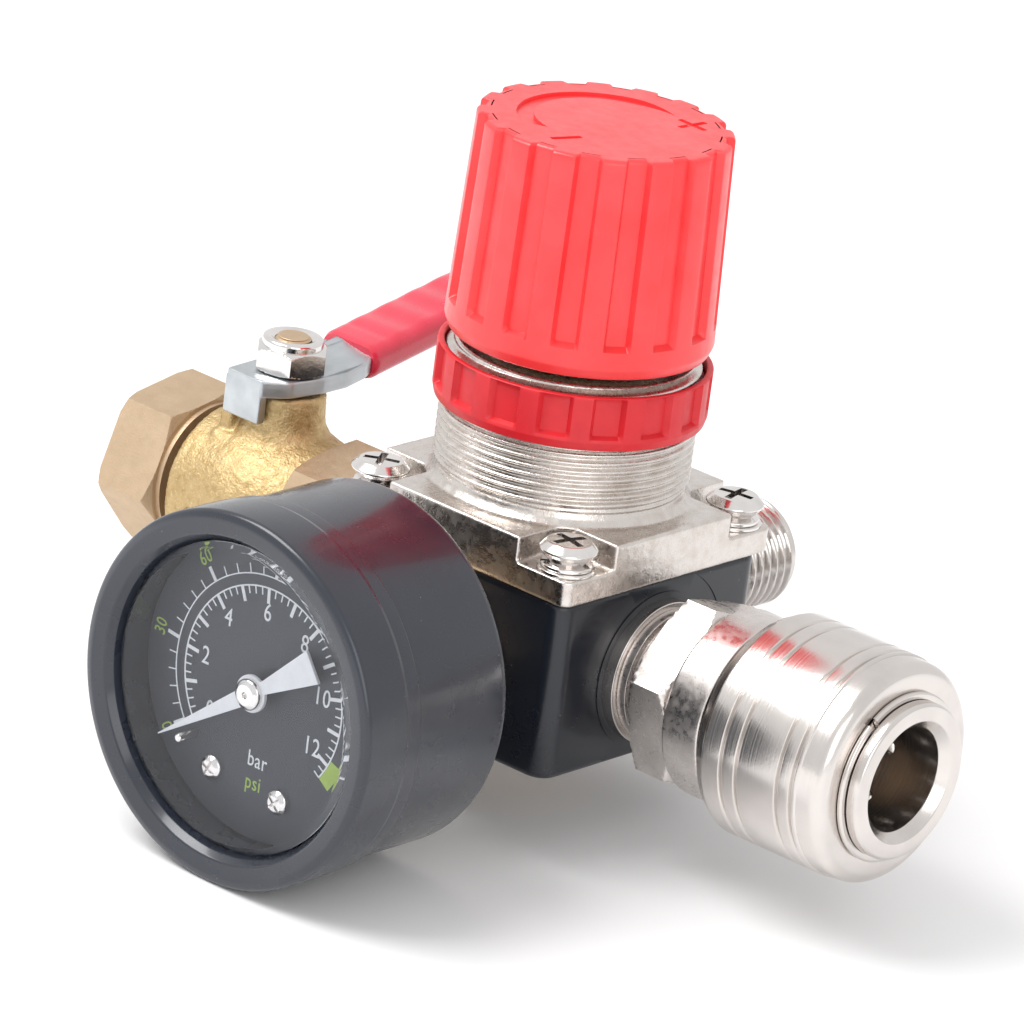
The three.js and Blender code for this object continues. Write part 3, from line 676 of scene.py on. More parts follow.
def bonnet_neck():
    """The threaded neck, with the mould's flash line down one side."""
    radius, pitch = NECK["radius"], NECK["pitch"]
    root, top = NECK["root"] - 0.1, NECK["top"]
    seam = math.radians(197)
    outline = rounded([
        (0, root), (radius, root), (radius, top - 1.1, 0.3), (radius - 1.15, top, 0.2),
        (radius - 2.2, top), (0, top),
    ])
    outline = densified(outline, pitch / 9)

    def shape(reach, station, angle):
        if reach < radius - 1:
            return reach
        fade = min(1.0, (station - root) / 0.8, max(0.0, (top - station) / 0.8))
        ridge = thread_wave(station, angle, pitch) * 0.5 * fade
        away = abs((angle - seam + math.pi) % TURN - math.pi) * radius
        flash = 0.16 * max(0.0, 1 - away / 0.5)
        uneven = 0.02 * noise.noise(Vector((angle * 9, station * 1.5, 3.7)))
        return reach - 0.55 + ridge + flash + uneven

    bm = turned("z", outline, 240, shape)
    make_piece("bonnet_neck", bm, "cast_nickel", nodes=["bonnet"], crease=75)


def bonnet_screws():
    head, top = SCREW["head"], SCREW["top"]
    floor = FLANGE["pocket_floor"]
    for i, (x, y) in enumerate(corner_places()):
        number = i + 1
        turn = (12, 63, 31, 78)[i]
        screw = revolved("z", [
            (0, floor + 0.9), (1.9, floor + 0.9), (2.6, floor + 1.5), (head, floor + 2.5, 0.5),
            (head - 0.05, top - 0.9, 0.7), (head - 0.9, top - 0.1, 0.4), (0, top),
        ], 64)
        for extra in (0, 90):
            slot = block((-2.1, -0.42, top - 1.5), (2.1, 0.42, top + 1), 0.12)
            screw = cut(screw, spun(slot, "Z", turn + extra))
        name = f"bonnet_screw_{number}"
        make_piece(name, moved(screw, x, y), "screw_chrome", nodes=[name])
        lock = revolved("z", [
            (1.8, floor + 0.45), (3.0, floor + 0.45, 0.15), (3.0, floor + 0.95, 0.15), (1.8, floor + 0.95),
        ], 48)
        gap = block((1.5, -0.25, floor), (4, 0.25, floor + 2), 0.02)
        lock = spun(cut(lock, gap), "Z", turn + 150)
        make_piece(f"lock_washer_{number}", moved(lock, x, y), "screw_chrome")
        flat = revolved("z", [
            (1.8, floor), (3.35, floor, 0.12), (3.35, floor + 0.42, 0.12), (1.8, floor + 0.42),
        ], 48)
        make_piece(f"flat_washer_{number}", moved(flat, x, y), "screw_chrome")


def bottom_plug():
    bottom = BODY["bottom"]
    corner = math.radians(15)
    hexagonal = hexagon(14, corner)
    outline = rounded([
        (0, bottom - 1.6, 0), (2.4, bottom - 1.6), (2.4, bottom - 2.4, 0.2), (6.9, bottom - 2.4),
        (8.1, bottom - 1.7), (8.1, bottom - 0.02), (0, bottom - 0.02),
    ])
    bm = turned("z", densified(outline, 0.4), 192, hexagonal, corner)
    make_piece("bottom_plug", bm, "machined_brass", nodes=["bottom_plug"])


# ---- panel nut and knob


def notched(count, half_width, flank, offset=0.0):
    """Depth from 0 to 1 at an angle in a ring of evenly spaced notches, all sizes in degrees."""
    pitch = 360 / count

    def depth(angle):
        away = abs((math.degrees(angle) - offset + pitch / 2) % pitch - pitch / 2)
        return min(1.0, max(0.0, (half_width - away) / flank + 0.5))

    return depth


def panel_nut():
    bottom, top, radius, bore = NUT["bottom"], NUT["top"], NUT["radius"], NUT["bore"]
    pocket = notched(NUT["pockets"], 6.4, 0.9, 11.25)
    outline = densified(rounded([
        (bore, bottom, 0.2), (radius - 0.25, bottom, 0.25), (radius, bottom + 1.0, 0.2), (radius, top, 0.3),
        (bore, top, 0.2),
    ]), 0.35)

    def shape(reach, station, angle):
        if reach < bore + 0.15:
            return reach
        above = min(1.0, max(0.0, (station - bottom - 1.3) / 0.3))
        below = min(1.0, max(0.0, (top - 0.15 - station) / 0.2))
        return max(bore + 0.08, reach - 0.7 * pocket(angle) * above * below)

    bm = turned("z", outline, 16 * 28, shape)
    make_piece("panel_nut", bm, "red_plastic", "panel_nut", ["panel_nut"], RED_NUT)


def knob_top_cutters():
    """The sunk marks on the knob's top: a band that tapers from the minus round to the plus."""
    top = KNOB["top"]
    depth = 0.45
    middle, half_band = 9.2, 1.0
    start, taper_from, point = 245, 108, 75
    slant = 13
    outer, inner = [], []
    steps = 56
    for i in range(steps + 1):
        share = i / steps
        angle = start + (point - start) * share
        half = half_band * min(1.0, max(0.02, (angle - point) / (taper_from - point)))
        tilt = slant * max(0.0, 1 - share * 6)
        for edge, reach, turn in ((outer, middle + half, 0), (inner, middle - half, tilt)):
            at = math.radians(angle + turn)
            edge.append((reach * math.cos(at), reach * math.sin(at)))
    outline = outer + inner[::-1]
    band = lofted([[(x, y, z) for x, y in outline] for z in (top - depth, top + 1)])
    strokes = [band]
    for x, y, length, degrees in ((1.9, -9.0, 3.9, 70), (5.7, 8.2, 4.2, -5), (5.7, 8.2, 4.2, 85)):
        stroke = block((-length / 2, -0.38, top - depth), (length / 2, 0.38, top + 1), 0.2)
        strokes.append(moved(spun(stroke, "Z", degrees), x, y))
    return strokes


def knob():
    bottom, top, low, high = KNOB["bottom"], KNOB["top"], KNOB["low"], KNOB["high"]
    groove = notched(KNOB["grooves"], 5.3, 1.5, 11.25)
    outline = densified(rounded([
        (0, top), (high, top, 0.55), (low, bottom + 1.2, 0.9), (low - 0.5, bottom, 0.4), (13.1, bottom, 0.3),
        (12.9, top - 4.5), (0, top - 4.5),
    ]), 0.5)

    def shape(reach, station, angle):
        if station > top - 0.02 and reach < high - 1.3:
            return reach
        outside = min(1.0, max(0.0, (reach - 13.2) / 0.5))
        above = min(1.0, max(0.0, (station - bottom - 3.5) / 0.35))
        return reach - 0.85 * groove(angle) * outside * above

    bm = turned("z", outline, 16 * 30, shape)
    bm = cut(bm, *knob_top_cutters())
    make_piece("knob", bm, "red_plastic", "knob", ["knob"], crease=28)


# ---- inlet nipple


def inlet_nipple():
    hex_start, hex_end, end = BODY["half"] + 0.02, 22.6, INLET_END
    corner = math.radians(20)
    flats = hexagon(17, corner)
    major, pitch = PIPE_THREAD["major"], PIPE_THREAD["pitch"]
    outline = densified(rounded([
        (4.1, hex_start), (8.9, hex_start), (9.82, hex_start + 0.55), (9.82, hex_end - 0.55), (8.6, hex_end),
        (major, hex_end + 0.05), (major, end - 0.7), (major - 0.7, end), (4.5, end, 0.2), (4.1, end - 0.5),
    ]), pitch / 8)

    def shape(reach, station, angle):
        if station <= hex_end + 0.02:
            return flats(reach, station, angle)
        if reach < 4.7:
            return reach
        fade = min(1.0, max(0.0, (station - hex_end - 0.4) / 1.2))
        return reach - 0.62 * (1 - thread_wave(station, angle, pitch)) * fade

    bm = turned("y", outline, 192, shape, corner)
    make_piece("inlet_nipple", bm, "turned_nickel", nodes=["inlet_nipple"], material=INLET_NICKEL, crease=40)


# ---- gauge


def gauge_socket():
    corner = math.radians(30)
    back, start = GAUGE["back"], -BODY["half"] - 0.05
    outline = densified(rounded([
        (0, back + 0.1), (7.4, back + 0.1), (8.1, back + 0.7), (8.1, start - 2.6), (7.2, start - 2.0),
        (5.6, start - 1.9), (5.6, start), (0, start),
    ]), 0.4)
    bm = turned("y", outline, 192, hexagon(14, corner), corner)
    make_piece("gauge_socket", bm, "machined_brass", nodes=["gauge_socket"])


def gauge_case():
    case, bezel_back, back = GAUGE["case"], GAUGE["bezel_back"], GAUGE["back"]
    bm = revolved("y", [
        (case - 1.2, bezel_back - 3), (case, bezel_back - 3), (case, back, 1.6), (7.6, back, 0.3),
        (7.6, back - 1.2), (case - 1.2, back - 1.2, 1),
    ], 192, 8)
    make_piece("gauge_case", bm, "gauge_black", nodes=["gauge_case"])


def gauge_bezel():
    """The pressed ring round the lens, with a rolled lip and a step where it grips the case."""
    rim, front, back = GAUGE["bezel"], GAUGE["front"], GAUGE["bezel_back"]
    opening = DIAL["radius"] + 0.25
    bm = revolved("y", [
        (GAUGE["case"] + 0.02, back, 0.1), (rim - 0.15, back, 0.35), (rim - 0.15, back - 2.0, 0.3),
        (rim, back - 2.5, 0.4), (rim, front + 0.3, 1.0), (rim - 1.1, front + 0.02, 0.9),
        (opening + 0.9, front + 0.35, 0.5), (opening + 0.25, front + 1.2, 0.4), (opening, front + 2.0, 0.2),
        (opening, DIAL["front"] + 0.6), (GAUGE["case"] - 0.6, DIAL["front"] + 0.6),
        (GAUGE["case"] - 0.6, back),
    ], 256, 6)
    make_piece("gauge_bezel", bm, "gauge_black", nodes=["gauge_bezel"])


def gauge_lens():
    front = GAUGE["front"] + 1.3
    edge = DIAL["radius"] + 0.1
    bm = revolved("y", [
        (0, front), (edge - 0.7, front, 0.6), (edge, front + 0.6, 0.3), (edge, front + 1.2), (0, front + 1.2),
    ], 160, 6)
    make_piece("gauge_lens", bm, "lens_clear", nodes=["gauge_lens"])


def dial_point(radius, degrees, height=0.0):
    """A point on the dial's front, height mm in front of it. Angles run from +X towards +Z."""
    angle = math.radians(degrees)
    return Vector((radius * math.cos(angle), DIAL["front"] - height, radius * math.sin(angle)))


PRINT = 0.05


def dial_patch(bm, corners):
    """A printed patch on the dial: corners are (radius, degrees)."""
    front = [bm.verts.new(dial_point(radius, degrees, PRINT)) for radius, degrees in corners]
    back = [bm.verts.new(dial_point(radius, degrees, 0.0)) for radius, degrees in corners]
    bm.faces.new(front)
    bm.faces.new(back[::-1])
    bridge(bm, front, back)


def dial_arc(bm, inner, outer, start, end, step=2.0):
    """A printed arc between two radii, in strips of about step degrees."""
    count = max(1, round(abs(end - start) / step))
    corners = [(outer, start + (end - start) * i / count) for i in range(count + 1)]
    corners += [(inner, start + (end - start) * i / count) for i in range(count, -1, -1)]
    front = [bm.verts.new(dial_point(radius, degrees, PRINT)) for radius, degrees in corners]
    back = [bm.verts.new(dial_point(radius, degrees, 0.0)) for radius, degrees in corners]
    last = len(corners) - 1
    for points in (front, back):
        for i in range(count):
            bm.faces.new([points[i], points[i + 1], points[last - i - 1], points[last - i]])
    bridge(bm, front, back)


def dial_tick(bm, inner, outer, degrees, width):
    """A printed tick of even width along a radius."""
    middle = (inner + outer) / 2
    spread = math.degrees(width / 2 / middle)
    low = spread * middle / inner
    high = spread * middle / outer
    near = [(inner, degrees - low), (inner, degrees + low)]
    dial_patch(bm, near + [(outer, degrees + high), (outer, degrees - high)])


def dial_text(bm, words, size, radius, degrees, turned_with_scale=False):
    """Printed characters centred at a place on the dial."""
    curve = bpy.data.curves.new("text", "FONT")
    curve.body = words
    curve.size = size
    curve.align_x = "CENTER"
    curve.align_y = "CENTER"
    curve.extrude = PRINT / 2
    curve.resolution_u = 3
    curve.space_character = 1.08
    thing = bpy.data.objects.new("text", curve)
    bpy.context.collection.objects.link(thing)
    text = applied_text(thing)
    spin = degrees - 90 if turned_with_scale else 0
    upright = Matrix(((1, 0, 0), (0, 0, -1), (0, 1, 0)))
    matrix = upright @ Matrix.Rotation(math.radians(spin), 3, "Z") @ Matrix.Diagonal((0.8, 1, 1))
    spot = dial_point(radius, degrees, PRINT / 2)
    bmesh.ops.transform(text, matrix=Matrix.Translation(spot) @ matrix.to_4x4(), verts=text.verts)
    together(bm, text)


def applied_text(thing):
    graph = bpy.context.evaluated_depsgraph_get()
    mesh = bpy.data.meshes.new_from_object(thing.evaluated_get(graph))
    bm = bmesh.new()
    bm.from_mesh(mesh)
    bmesh.ops.remove_doubles(bm, verts=bm.verts, dist=1e-4)
    curve = thing.data
    bpy.data.objects.remove(thing)
    bpy.data.meshes.remove(mesh)
    bpy.data.curves.remove(curve)
    return bm


def bar_angle(value):
    return SCALE["zero"] - SCALE["degrees_per_bar"] * value


def psi_angle(value):
    return SCALE["zero"] - SCALE["degrees_per_psi"] * value


def dial_plate():
    radius, front = DIAL["radius"], DIAL["front"]
    bm = revolved("y", [
        (0, front), (radius, front, 0.1), (radius, front + 0.5), (0, front + 0.5),
    ], 160)
    make_piece("dial_plate", bm, "dial_paint", nodes=["dial_plate"])


def dial_scale():
    white = bmesh.new()
    dial_arc(white, 11.68, 11.86, bar_angle(0), bar_angle(12.5))
    for quarter in range(0, 12 * 4 + 3):
        major = quarter % 4 == 0
        inner = 10.0 if major else 10.85
        dial_tick(white, inner, 11.7, bar_angle(quarter / 4), 0.42 if major else 0.16)
    for value in range(0, 13, 2):
        dial_text(white, str(value), 3.0, 8.9, bar_angle(value))
    dial_arc(white, 13.05, 13.2, psi_angle(0), psi_angle(170))
    for step in range(0, 29):
        major = step % 5 == 0
        dial_tick(white, 13.15, 14.9 if major else 14.25, psi_angle(step * 6), 0.42 if major else 0.14)
    dial_text(white, "bar", 2.6, 8.35, 273)
    make_piece("dial_scale_white", white, "pointer_paint", material=PRINT_WHITE)
    green = bmesh.new()
    for value in range(0, 151, 30):
        dial_text(green, str(value), 2.3, 16.0, psi_angle(value), True)
    dial_text(green, "psi", 2.5, 11.05, 271)
    dial_arc(green, 11.9, 13.6, bar_angle(11.8), bar_angle(12.5))
    make_piece("dial_scale_green", green, "dial_paint", material=PRINT_GREEN)


def dial_screws():
    for i, degrees in enumerate((243, 291)):
        front = DIAL["front"]
        screw = revolved("y", [
            (0, front), (1.5, front, 0), (1.5, front - 0.7, 0.4), (0.9, front - 1.15, 0.4), (0, front - 1.2),
        ], 48)
        for extra in (0, 90):
            slot = block((-1.0, -0.17, -0.5), (1.0, 0.17, 0.9), 0.06)
            slot = spun(slot, "X", 90)
            slot = moved(spun(slot, "Y", 25 + 20 * i + extra), 0, front - 1.15, 0)
            screw = cut(screw, slot)
        spot = dial_point(12.5, degrees)
        name = f"dial_screw_{i + 1}"
        make_piece(name, moved(screw, spot.x, 0, spot.z), "screw_chrome", nodes=[name])


def dial_stop_pin():
    spot = dial_point(12.1, 223)
    front = DIAL["front"]
    pin = revolved("y", [(0, front), (0.5, front), (0.5, front - 3.2, 0.35), (0, front - 3.2)], 32)
    make_piece("dial_stop_pin", moved(pin, spot.x, 0, spot.z), "screw_chrome", nodes=["dial_stop_pin"])


def pointer():
    """The white hand, drawn pointing along +X and then turned to its rest angle."""
    length, tail = POINTER["length"], POINTER["tail"]
    back, front = POINTER["back"], POINTER["front"]
    hub = 2.15
    narrow, wide = 0.62, 1.95
    join_at = math.sqrt(hub ** 2 - narrow ** 2)
    corners = [(length, 0.07, 0.02), (join_at, 0.95, 0.1)]
    for i in range(13):
        angle = math.radians(35 + i * 110 / 12)
        corners.append((hub * math.cos(angle), hub * math.sin(angle)))
    corners += [(-join_at, narrow + 0.1, 0.1), (-tail, wide, 0.1)]
    outline = rounded(corners + [(u, -v, *rest) for u, v, *rest in reversed(corners)], 3)
    sections = []
    for inset, station in ((0.06, back), (0.0, back - 0.06), (0.0, front + 0.06), (0.06, front)):
        scale = 1 - inset / length
        sections.append([(u * scale, station, v * scale) for u, v in outline])
    hand = spun(lofted(sections), "Y", -POINTER["angle"])
    make_piece("pointer", hand, "pointer_paint", "pointer", ["pointer"])
    cap = revolved("y", [
        (0, front - 0.02), (1.8, front - 0.02), (1.8, front - 0.6, 0.35), (1.2, front - 0.95, 0.3),
        (0.38, front - 1.0, 0.06), (0.3, front - 0.55), (0, front - 0.55),
    ], 64)
    make_piece("pointer_cap", cap, "screw_chrome", "pointer", ["pointer_cap"])


# ---- quick coupler


def coupler_hex():
    """The coupler's spigot, groove, hexagon and collar, plated over a fine cast surface."""
    washer_end, collar_end = COUPLER["washer_end"], COUPLER["collar_end"]
    start, end = COUPLER["hex_start"], COUPLER["hex_end"]
    corner = math.radians(COUPLER["corner"])
    flats = hexagon(20.2, corner)
    outline = densified(rounded([
        (3.6, 10), (6.1, 10), (6.1, washer_end), (7.8, washer_end, 0.2), (7.8, 19.9, 0.1), (7.2, 20.1),
        (7.2, 20.7), (7.8, 20.9, 0.1), (7.8, start - 0.02), (10.5, start), (11.66, start + 0.6),
        (11.66, end - 0.9), (10.2, end - 0.02), (11.0, end, 0.1), (11.2, end + 0.3, 0.2),
        (11.2, collar_end, 0.3), (5.9, collar_end), (5.9, 25), (3.6, 25),
    ]), 0.45)

    def shape(reach, station, angle):
        if start - 0.01 <= station <= end - 0.01:
            return flats(reach, station, angle)
        return reach

    bm = turned("x", outline, 192, shape, corner)
    outlet_piece("coupler_hex", bm, "turned_nickel", nodes=["coupler_body"], material=COUPLER_NICKEL)


def coupler_tube():
    """The tube that the plug goes into, with the snap ring's groove near its mouth."""
    start, mouth, bore = COUPLER["collar_end"] + 0.02, COUPLER["mouth"], COUPLER["bore"]
    bm = revolved("x", [
        (5.9, start), (9.2, start), (9.2, mouth - 2.45), (8.7, mouth - 2.4), (8.7, mouth - 1.5),
        (9.2, mouth - 1.45), (9.2, mouth - 0.05, 0.45), (bore + 1.1, mouth, 0.3), (bore, mouth - 1.1, 0.3),
        (bore, 39), (5.9, 39),
    ], 192)
    outlet_piece("coupler_tube", bm, "turned_nickel", nodes=["coupler_body"])


def coupler_washer():
    start, end = BODY["half"] - 0.1, COUPLER["washer_end"]
    bm = revolved("x", [(6.3, start), (8.5, start, 0.15), (8.5, end, 0.15), (6.3, end)], 128)
    outlet_piece("coupler_washer", bm, "turned_nickel", nodes=["coupler_washer"])


def groove(outer, station, depth=0.4, width=0.6):
    """A fine turned groove in a sleeve's outline."""
    return [
        (outer, station - width / 2, 0.08), (outer - depth, station - 0.08), (outer - depth, station + 0.08),
        (outer, station + width / 2, 0.08),
    ]


def coupler_sleeve():
    back, front, outer = SLEEVE["back"], SLEEVE["front"], SLEEVE["radius"]
    cavity, cavity_end = SLEEVE["cavity"], SLEEVE["cavity_end"]
    bm = revolved("x", [
        (cavity, back, 0.1), (outer - 0.9, back, 0.3), (outer, back + 1.5, 0.7),
        *groove(outer, 38.8), *groove(outer, 41.0), *groove(outer, 46.9), *groove(outer, 48.9),
        (outer, 49.55, 0.05), (outer - 0.2, 49.65, 0.05), (outer - 0.3, front, 1.5),
        (9.9, front, 0.2), (9.5, front - 0.3, 0.1), (9.5, cavity_end), (cavity, cavity_end),
    ], 224, 8)
    outlet_piece("coupler_sleeve", bm, "turned_nickel", "coupler_sleeve", ["coupler_sleeve"])


def snap_ring():
    """The split wire ring that keeps the sleeve on."""
    front = COUPLER["mouth"] - 1.6
    bm = revolved("x", [
        (8.72, front - 0.7, 0.2), (10.0, front - 0.7, 0.3), (10.0, front, 0.3), (8.72, front, 0.2),
    ], 160)
    gap_angle = 128
    gap = block((front - 2, -0.5, 8), (front + 2, 0.5, 11), 0.02)
    bm = cut(bm, spun(gap, "X", gap_angle - 90))
    outlet_piece("snap_ring", bm, "turned_nickel", nodes=["snap_ring"])


def locking_balls():
    for i in range(6):
        name = f"locking_ball_{i + 1}"
        bm = bmesh.new()
        bmesh.ops.create_icosphere(bm, subdivisions=4, radius=1.5)
        low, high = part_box(name)
        middle = (low + high) / 2 / MM - CENTRE
        make_piece(name, moved(bm, *middle), "screw_chrome", nodes=[name])


def coupler_seal():
    seal = revolved("x", [(4.2, 36.8), (5.6, 36.8), (5.6, 38.6, 0.4), (4.2, 38.6, 0.5)], 96)
    outlet_piece("coupler_seal", seal, "black_rubber", nodes=["coupler_seal"])


# ---- ball valve


def valve_body():
    """The cast brass body: a round belly, the boss for the stem and the stops for the lever."""
    centre, boss_top = VALVE["centre"], VALVE["boss_top"]
    belly = revolved("x", [
        (0, VALVE["body_start"] - 0.6), (8.3, VALVE["body_start"] - 0.6), (8.6, VALVE["hex_end"] + 1),
        (9.7, centre + 5.0, 2), (10.45, centre + 1.5, 3), (10.45, centre - 1.5, 3), (9.8, centre - 5.5, 2),
        (9.6, centre - 8.8, 0.3), (0, centre - 8.8),
    ], 128, 8)
    boss = revolved("z", [
        (0, 0), (8.0, 5.2), (6.0, 8.6, 2.5), (4.85, 10.6, 2.0), (4.65, boss_top, 0.4), (0, boss_top),
    ], 96, 8)
    stop = block((centre - 5.6, -5.2, 4), (centre - 3.6, -2.6, 11.4), 0.6)
    skirt = block((centre - 6.4, -6.4, 2), (centre - 2.4, -1.6, 8.7), 1.2)
    bm = joined(belly, moved(boss, centre), skirt, stop)
    dimple = revolved("y", [(0, -11.2), (1.1, -11.2, 0.2), (1.1, -9.2, 0.3), (0, -9.2)], 32)
    bm = cut(bm, moved(dimple, centre - 4.5, 0, -1.5))
    bm = cast(bm, 0.24, 5, 0.07, 0.8)
    bore = turned("x", [(0, centre - 10), (6.0, centre - 10), (6.0, centre + 4), (0, centre + 4)], 64)
    stem_hole = turned("z", [(0, 5), (3.4, 5), (3.4, boss_top + 1), (0, boss_top + 1)], 48)
    bm = cut(bm, bore, moved(stem_hole, centre))
    outlet_piece("valve_body", bm, "cast_brass", nodes=["valve_body"], crease=60)


def valve_hex():
    """The hexagon by the regulator and the short thread that runs into it."""
    start, end = VALVE["body_start"], VALVE["hex_end"]
    corner = math.radians(VALVE["corner"])
    flats = hexagon(18.5, corner)
    outline = densified(rounded([
        (4.1, -10), (4.1, end), (9.3, end), (10.68, end + 0.6), (10.68, start - 0.6), (9.4, start),
        (6.58, start + 0.05), (6.58, -17.3), (6.2, -17.2), (6.2, -10),
    ]), 0.17)

    def shape(reach, station, angle):
        if station <= start + 0.01:
            return flats(reach, station, angle)
        if station < -17.25 and reach > 6.3:
            return reach - 0.5 * (1 - thread_wave(station, angle, PIPE_THREAD["pitch"]))
        return reach

    bm = turned("x", outline, 192, shape, corner)
    outlet_piece("valve_hex", bm, "machined_brass", nodes=["valve_body"])


def valve_end():
    outlet = VALVE["outlet"]
    start = outlet + 8.2
    corner = math.radians(VALVE["corner"])
    flats = hexagon(18.5, corner)
    outline = densified(rounded([
        (5.9, outlet + 0.9), (6.8, outlet), (9.9, outlet, 0.2), (10.68, outlet + 0.5), (10.68, start - 0.7),
        (9.3, start), (8.9, start + 0.05), (8.9, start + 0.7), (4.1, start + 0.75), (4.1, outlet + 8.5),
        (5.9, outlet + 8.45),
    ]), 0.17)

    def shape(reach, station, angle):
        if reach > 7.0 and station < start + 0.01:
            return flats(reach, station, angle)
        if reach < 6.6 and station < outlet + 8.3:
            return reach + 0.55 * thread_wave(station, angle, PIPE_THREAD["pitch"])
        return reach

    bm = turned("x", outline, 192, shape, corner)
    outlet_piece("valve_end", bm, "machined_brass", nodes=["valve_end"])


def valve_ball():
    bm = bmesh.new()
    bmesh.ops.create_uvsphere(bm, u_segments=96, v_segments=48, radius=6.4)
    bore = turned("y", [(0, -8), (4.1, -8), (4.1, 8), (0, 8)], 64)
    slot = block((-4.2, -1.2, 4.3), (4.2, 1.2, 8), 0.1)
    bm = cut(bm, bore, slot)
    outlet_piece("valve_ball", moved(bm, VALVE["centre"]), "screw_chrome", "valve_handle", ["valve_ball"])


def ball_seats():
    for number, low in ((1, 5.0), (2, -6.5)):
        outline = rounded([(4.5, low), (6.5, low), (6.5, low + 1.5), (4.5, low + 1.5)])
        seat = moved(turned("x", outline, 64), VALVE["centre"])
        outlet_piece(f"ball_seat_{number}", seat, "ptfe_white", nodes=[f"ball_seat_{number}"])


def lever_rise(y):
    slope = math.tan(math.radians(LEVER["slope"]))
    return max(0.0, y - LEVER["bend"]) * slope


def valve_lever():
    """The pressed plate over the stem, its stop tab bent down, and the tang inside the grip."""
    half = LEVER["width"] / 2
    bottom, top = LEVER["bottom"], LEVER["bottom"] + LEVER["thickness"]
    corners = [
        (-half, -6.3, 0.6), (1.5, -6.3, 0.8), (3.6, -3.4, 2.5), (half, 1.5, 3.0), (half, 8.6, 1.2),
        (half - 1.0, 11.4, 1.0), (half - 1.3, 50, 1.5), (-half + 1.3, 50, 1.5), (-half + 1.0, 11.4, 1.0),
        (-half, 8.6, 1.2),
    ]
    outline = densified(rounded(corners, 6), 1.0)

    def outline_at(inset):
        return [(u * (1 - inset / half), v * (1 - inset / 30)) for u, v in outline]

    plate = prism(outline_at, bottom, top, 0.25)
    tab = block((-half, -6.3, bottom - 3.4), (1.5, -5.0, top - 0.6), 0.3)
    plate = joined(plate, tab)
    hole = turned("z", [(0, bottom - 2), (2.2, bottom - 2), (2.2, top + 2), (0, top + 2)], 48)
    plate = cut(plate, hole)
    for vertex in plate.verts:
        vertex.co.z += lever_rise(vertex.co.y)
    outlet_piece("valve_lever", moved(plate, VALVE["centre"]), "zinc_plate", "valve_handle", ["valve_lever"])


def lever_grip():
    """The dipped vinyl sleeve: soft-edged, ribbed on top and closed at its far end."""
    start, end, skin = GRIP["start"], GRIP["end"], GRIP["skin"]
    half_width = GRIP["width"] / 2
    half_height = LEVER["thickness"] / 2 + skin
    middle = LEVER["bottom"] + LEVER["thickness"] / 2
    stations = 120
    sections = []
    for i in range(stations + 1):
        share = i / stations
        y = start + (end - start) * share
        from_end = end - y
        closing = math.sqrt(max(0.0, 1 - max(0.0, 1 - from_end / half_width) ** 2))
        opening = min(1.0, 0.93 + 0.07 * (y - start) / 0.5)
        width = half_width * max(0.08, closing) * opening
        height = half_height * max(0.3, closing) * opening
        section = []
        for u, v in rounded_rectangle(width, height, min(width, height) * 0.8, 8):
            rib = 0.0
            if v > 0 and start + 3 < y < end - 6:
                across = max(0.0, 1 - (u / half_width) ** 2)
                rib = 0.16 * math.sin(TURN * y / 4.6) * across
            section.append((u, y, middle + lever_rise(y) + v + rib))
        sections.append(section)
    bm = moved(lofted(sections), VALVE["centre"])
    outlet_piece("lever_grip", bm, "red_vinyl", "valve_handle", ["lever_grip"], crease=50)


def stem_nut():
    seat = LEVER["bottom"] + LEVER["thickness"]
    corner = math.radians(12)
    flats = hexagon(8, corner)
    outline = densified(rounded([
        (2.2, seat + 0.15), (3.9, seat + 0.15, 0), (4.62, seat + 0.5), (4.62, seat + 2.7),
        (3.85, seat + 3.15), (3.65, seat + 3.2), (3.65, seat + 4.1, 0.5), (2.9, seat + 4.2, 0.2),
        (2.2, seat + 3.8),
    ]), 0.22)

    def shape(reach, station, angle):
        if station < seat + 3.17:
            return flats(reach, station, angle)
        return reach

    nut = moved(turned("z", outline, 192, shape, corner), VALVE["centre"])
    outlet_piece("stem_nut", nut, "screw_chrome", "valve_handle", ["stem_nut"])


def nut_gasket():
    seat = LEVER["bottom"] + LEVER["thickness"]
    low, high = seat + 0.01, seat + 0.14
    ring = revolved("z", [(2.2, low), (3.7, low), (3.7, high), (2.2, high)], 64)
    outlet_piece("nut_gasket", moved(ring, VALVE["centre"]), "black_rubber", "valve_handle")


def valve_stem():
    top = LEVER["bottom"] + 6.25
    outline = densified(rounded([(0, 6.5), (2.15, 6.5), (2.15, top - 0.3), (1.8, top), (0, top)]), 0.1)

    def thread(reach, station, angle):
        if station < 12 or reach < 1.9:
            return reach
        return reach - 0.22 * (1 - thread_wave(station, angle, 0.7))

    stem = moved(turned("z", outline, 96, thread), VALVE["centre"])
    outlet_piece("valve_stem", stem, "machined_brass", "valve_handle", ["valve_stem"])


def stem_packing():
    low, high = VALVE["boss_top"] - 3, VALVE["boss_top"] - 0.2
    packing = revolved("z", [(2.3, low), (3.3, low), (3.3, high, 0.2), (2.3, high, 0.2)], 64)
    outlet_piece("stem_packing", moved(packing, VALVE["centre"]), "ptfe_white", nodes=["stem_packing"])


# ------------------------------------------------------------------ build


PIECES = (
    body_block, bonnet_flange, bonnet_neck, bonnet_screws, bottom_plug, panel_nut, knob, inlet_nipple,
    gauge_socket, gauge_case, gauge_bezel, gauge_lens, dial_plate, dial_scale, dial_screws,
    dial_stop_pin, pointer, coupler_hex, coupler_tube, coupler_washer, coupler_sleeve, snap_ring,
    locking_balls, coupler_seal, valve_body, valve_hex, valve_end, valve_ball, ball_seats, valve_lever,
    lever_grip, stem_nut, nut_gasket, valve_stem, stem_packing,
)


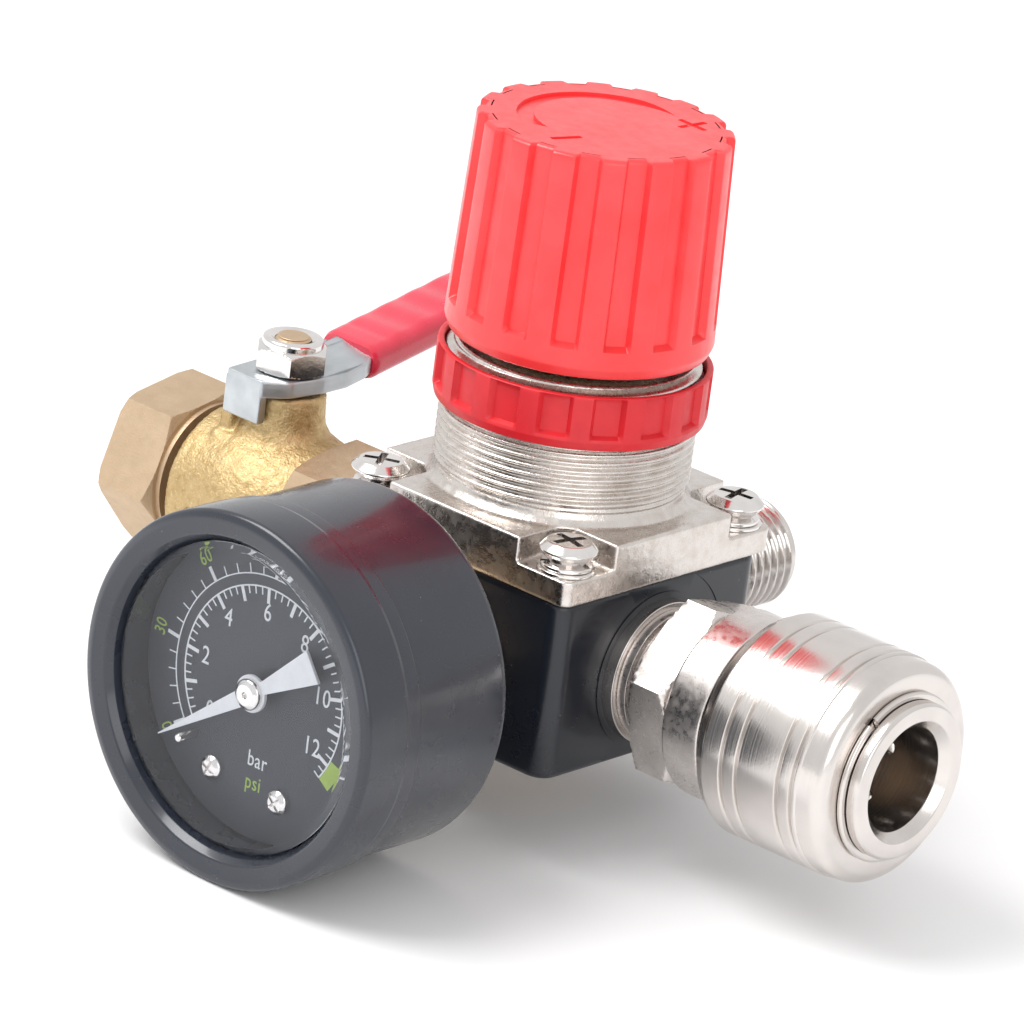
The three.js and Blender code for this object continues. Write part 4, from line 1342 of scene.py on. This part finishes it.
def paint_cad_nodes():
    """Hidden parts keep their CAD shape and take the finish of their material slot."""
    for part in frame["record"]["subparts"]:
        node = frame["nodes"][part["node"]]
        for slot in node.material_slots:
            slot.material = MATERIALS[part["material_slot"]]


# ------------------------------------------------------------------ camera, floor and light

VIEW = {"azimuth": 39.4, "elevation": 20.2, "roll": 7.5, "distance": 888, "lens": 272.7}
SHIFT = {"right": -3.37, "up": 11.2}


def view_axes():
    """Right, up and backwards of the camera, in the row frame."""
    a, e, r = [math.radians(VIEW[name]) for name in ("azimuth", "elevation", "roll")]
    back = Vector((math.sin(a) * math.cos(e), -math.cos(a) * math.cos(e), math.sin(e)))
    level = Vector((math.cos(a), math.sin(a), 0))
    rise = back.cross(level)
    right = level * math.cos(r) + rise * math.sin(r)
    up = rise * math.cos(r) - level * math.sin(r)
    return right, up, back


def make_camera():
    right, up, back = view_axes()
    data = bpy.data.cameras.new("camera")
    data.lens = VIEW["lens"]
    data.sensor_width = 36
    data.clip_start = 0.01
    data.clip_end = 20
    camera = bpy.data.objects.new("camera", data)
    spot = (CENTRE + back * VIEW["distance"] + right * SHIFT["right"] + up * SHIFT["up"]) * MM
    camera.matrix_world = Matrix.Translation(spot) @ Matrix((right, up, back)).transposed().to_4x4()
    bpy.context.collection.objects.link(camera)
    bpy.context.scene.camera = camera


def make_floor():
    finish = Finish("floor", (0.93, 0.93, 0.93), 0.7)
    finish.clouds(6, 3, 0.3, 0.7, (0.9, 0.9, 0.905))
    level = CAD_BOX[0].z - 0.00005
    bm = bmesh.new()
    bmesh.ops.create_grid(bm, x_segments=8, y_segments=8, size=4.0)
    bmesh.ops.translate(bm, vec=(0, 0, level), verts=bm.verts)
    mesh = bpy.data.meshes.new("floor")
    bm.to_mesh(mesh)
    bm.free()
    mesh.materials.append(finish.material)
    floor = bpy.data.objects.new("floor", mesh)
    bpy.context.collection.objects.link(floor)


def make_light(name, direction, distance, size, power):
    """A square soft box shining at the part from a direction in the row frame."""
    data = bpy.data.lights.new(name, "AREA")
    data.shape = "SQUARE"
    data.size = size
    data.energy = power
    lamp = bpy.data.objects.new(name, data)
    direction = Vector(direction).normalized()
    lamp.location = CENTRE * MM + direction * distance
    lamp.rotation_euler = direction.to_track_quat("Z", "Y").to_euler()
    bpy.context.collection.objects.link(lamp)


def make_world():
    world = bpy.data.worlds.new("studio")
    world.use_nodes = True
    background = world.node_tree.nodes["Background"]
    background.inputs["Color"].default_value = (1.0, 1.0, 1.0, 1)
    background.inputs["Strength"].default_value = 0.9
    bpy.context.scene.world = world


def make_studio():
    make_floor()
    make_world()
    make_light("key", (-0.5, -0.6, 1.1), 0.9, 0.5, 6)
    make_light("fill", (1.0, -0.7, 0.5), 1.1, 0.7, 2.5)
    settings = bpy.context.scene.view_settings
    settings.view_transform = "Standard"


paint_cad_nodes()
for build_piece in PIECES:
    build_piece()
make_camera()
make_studio()
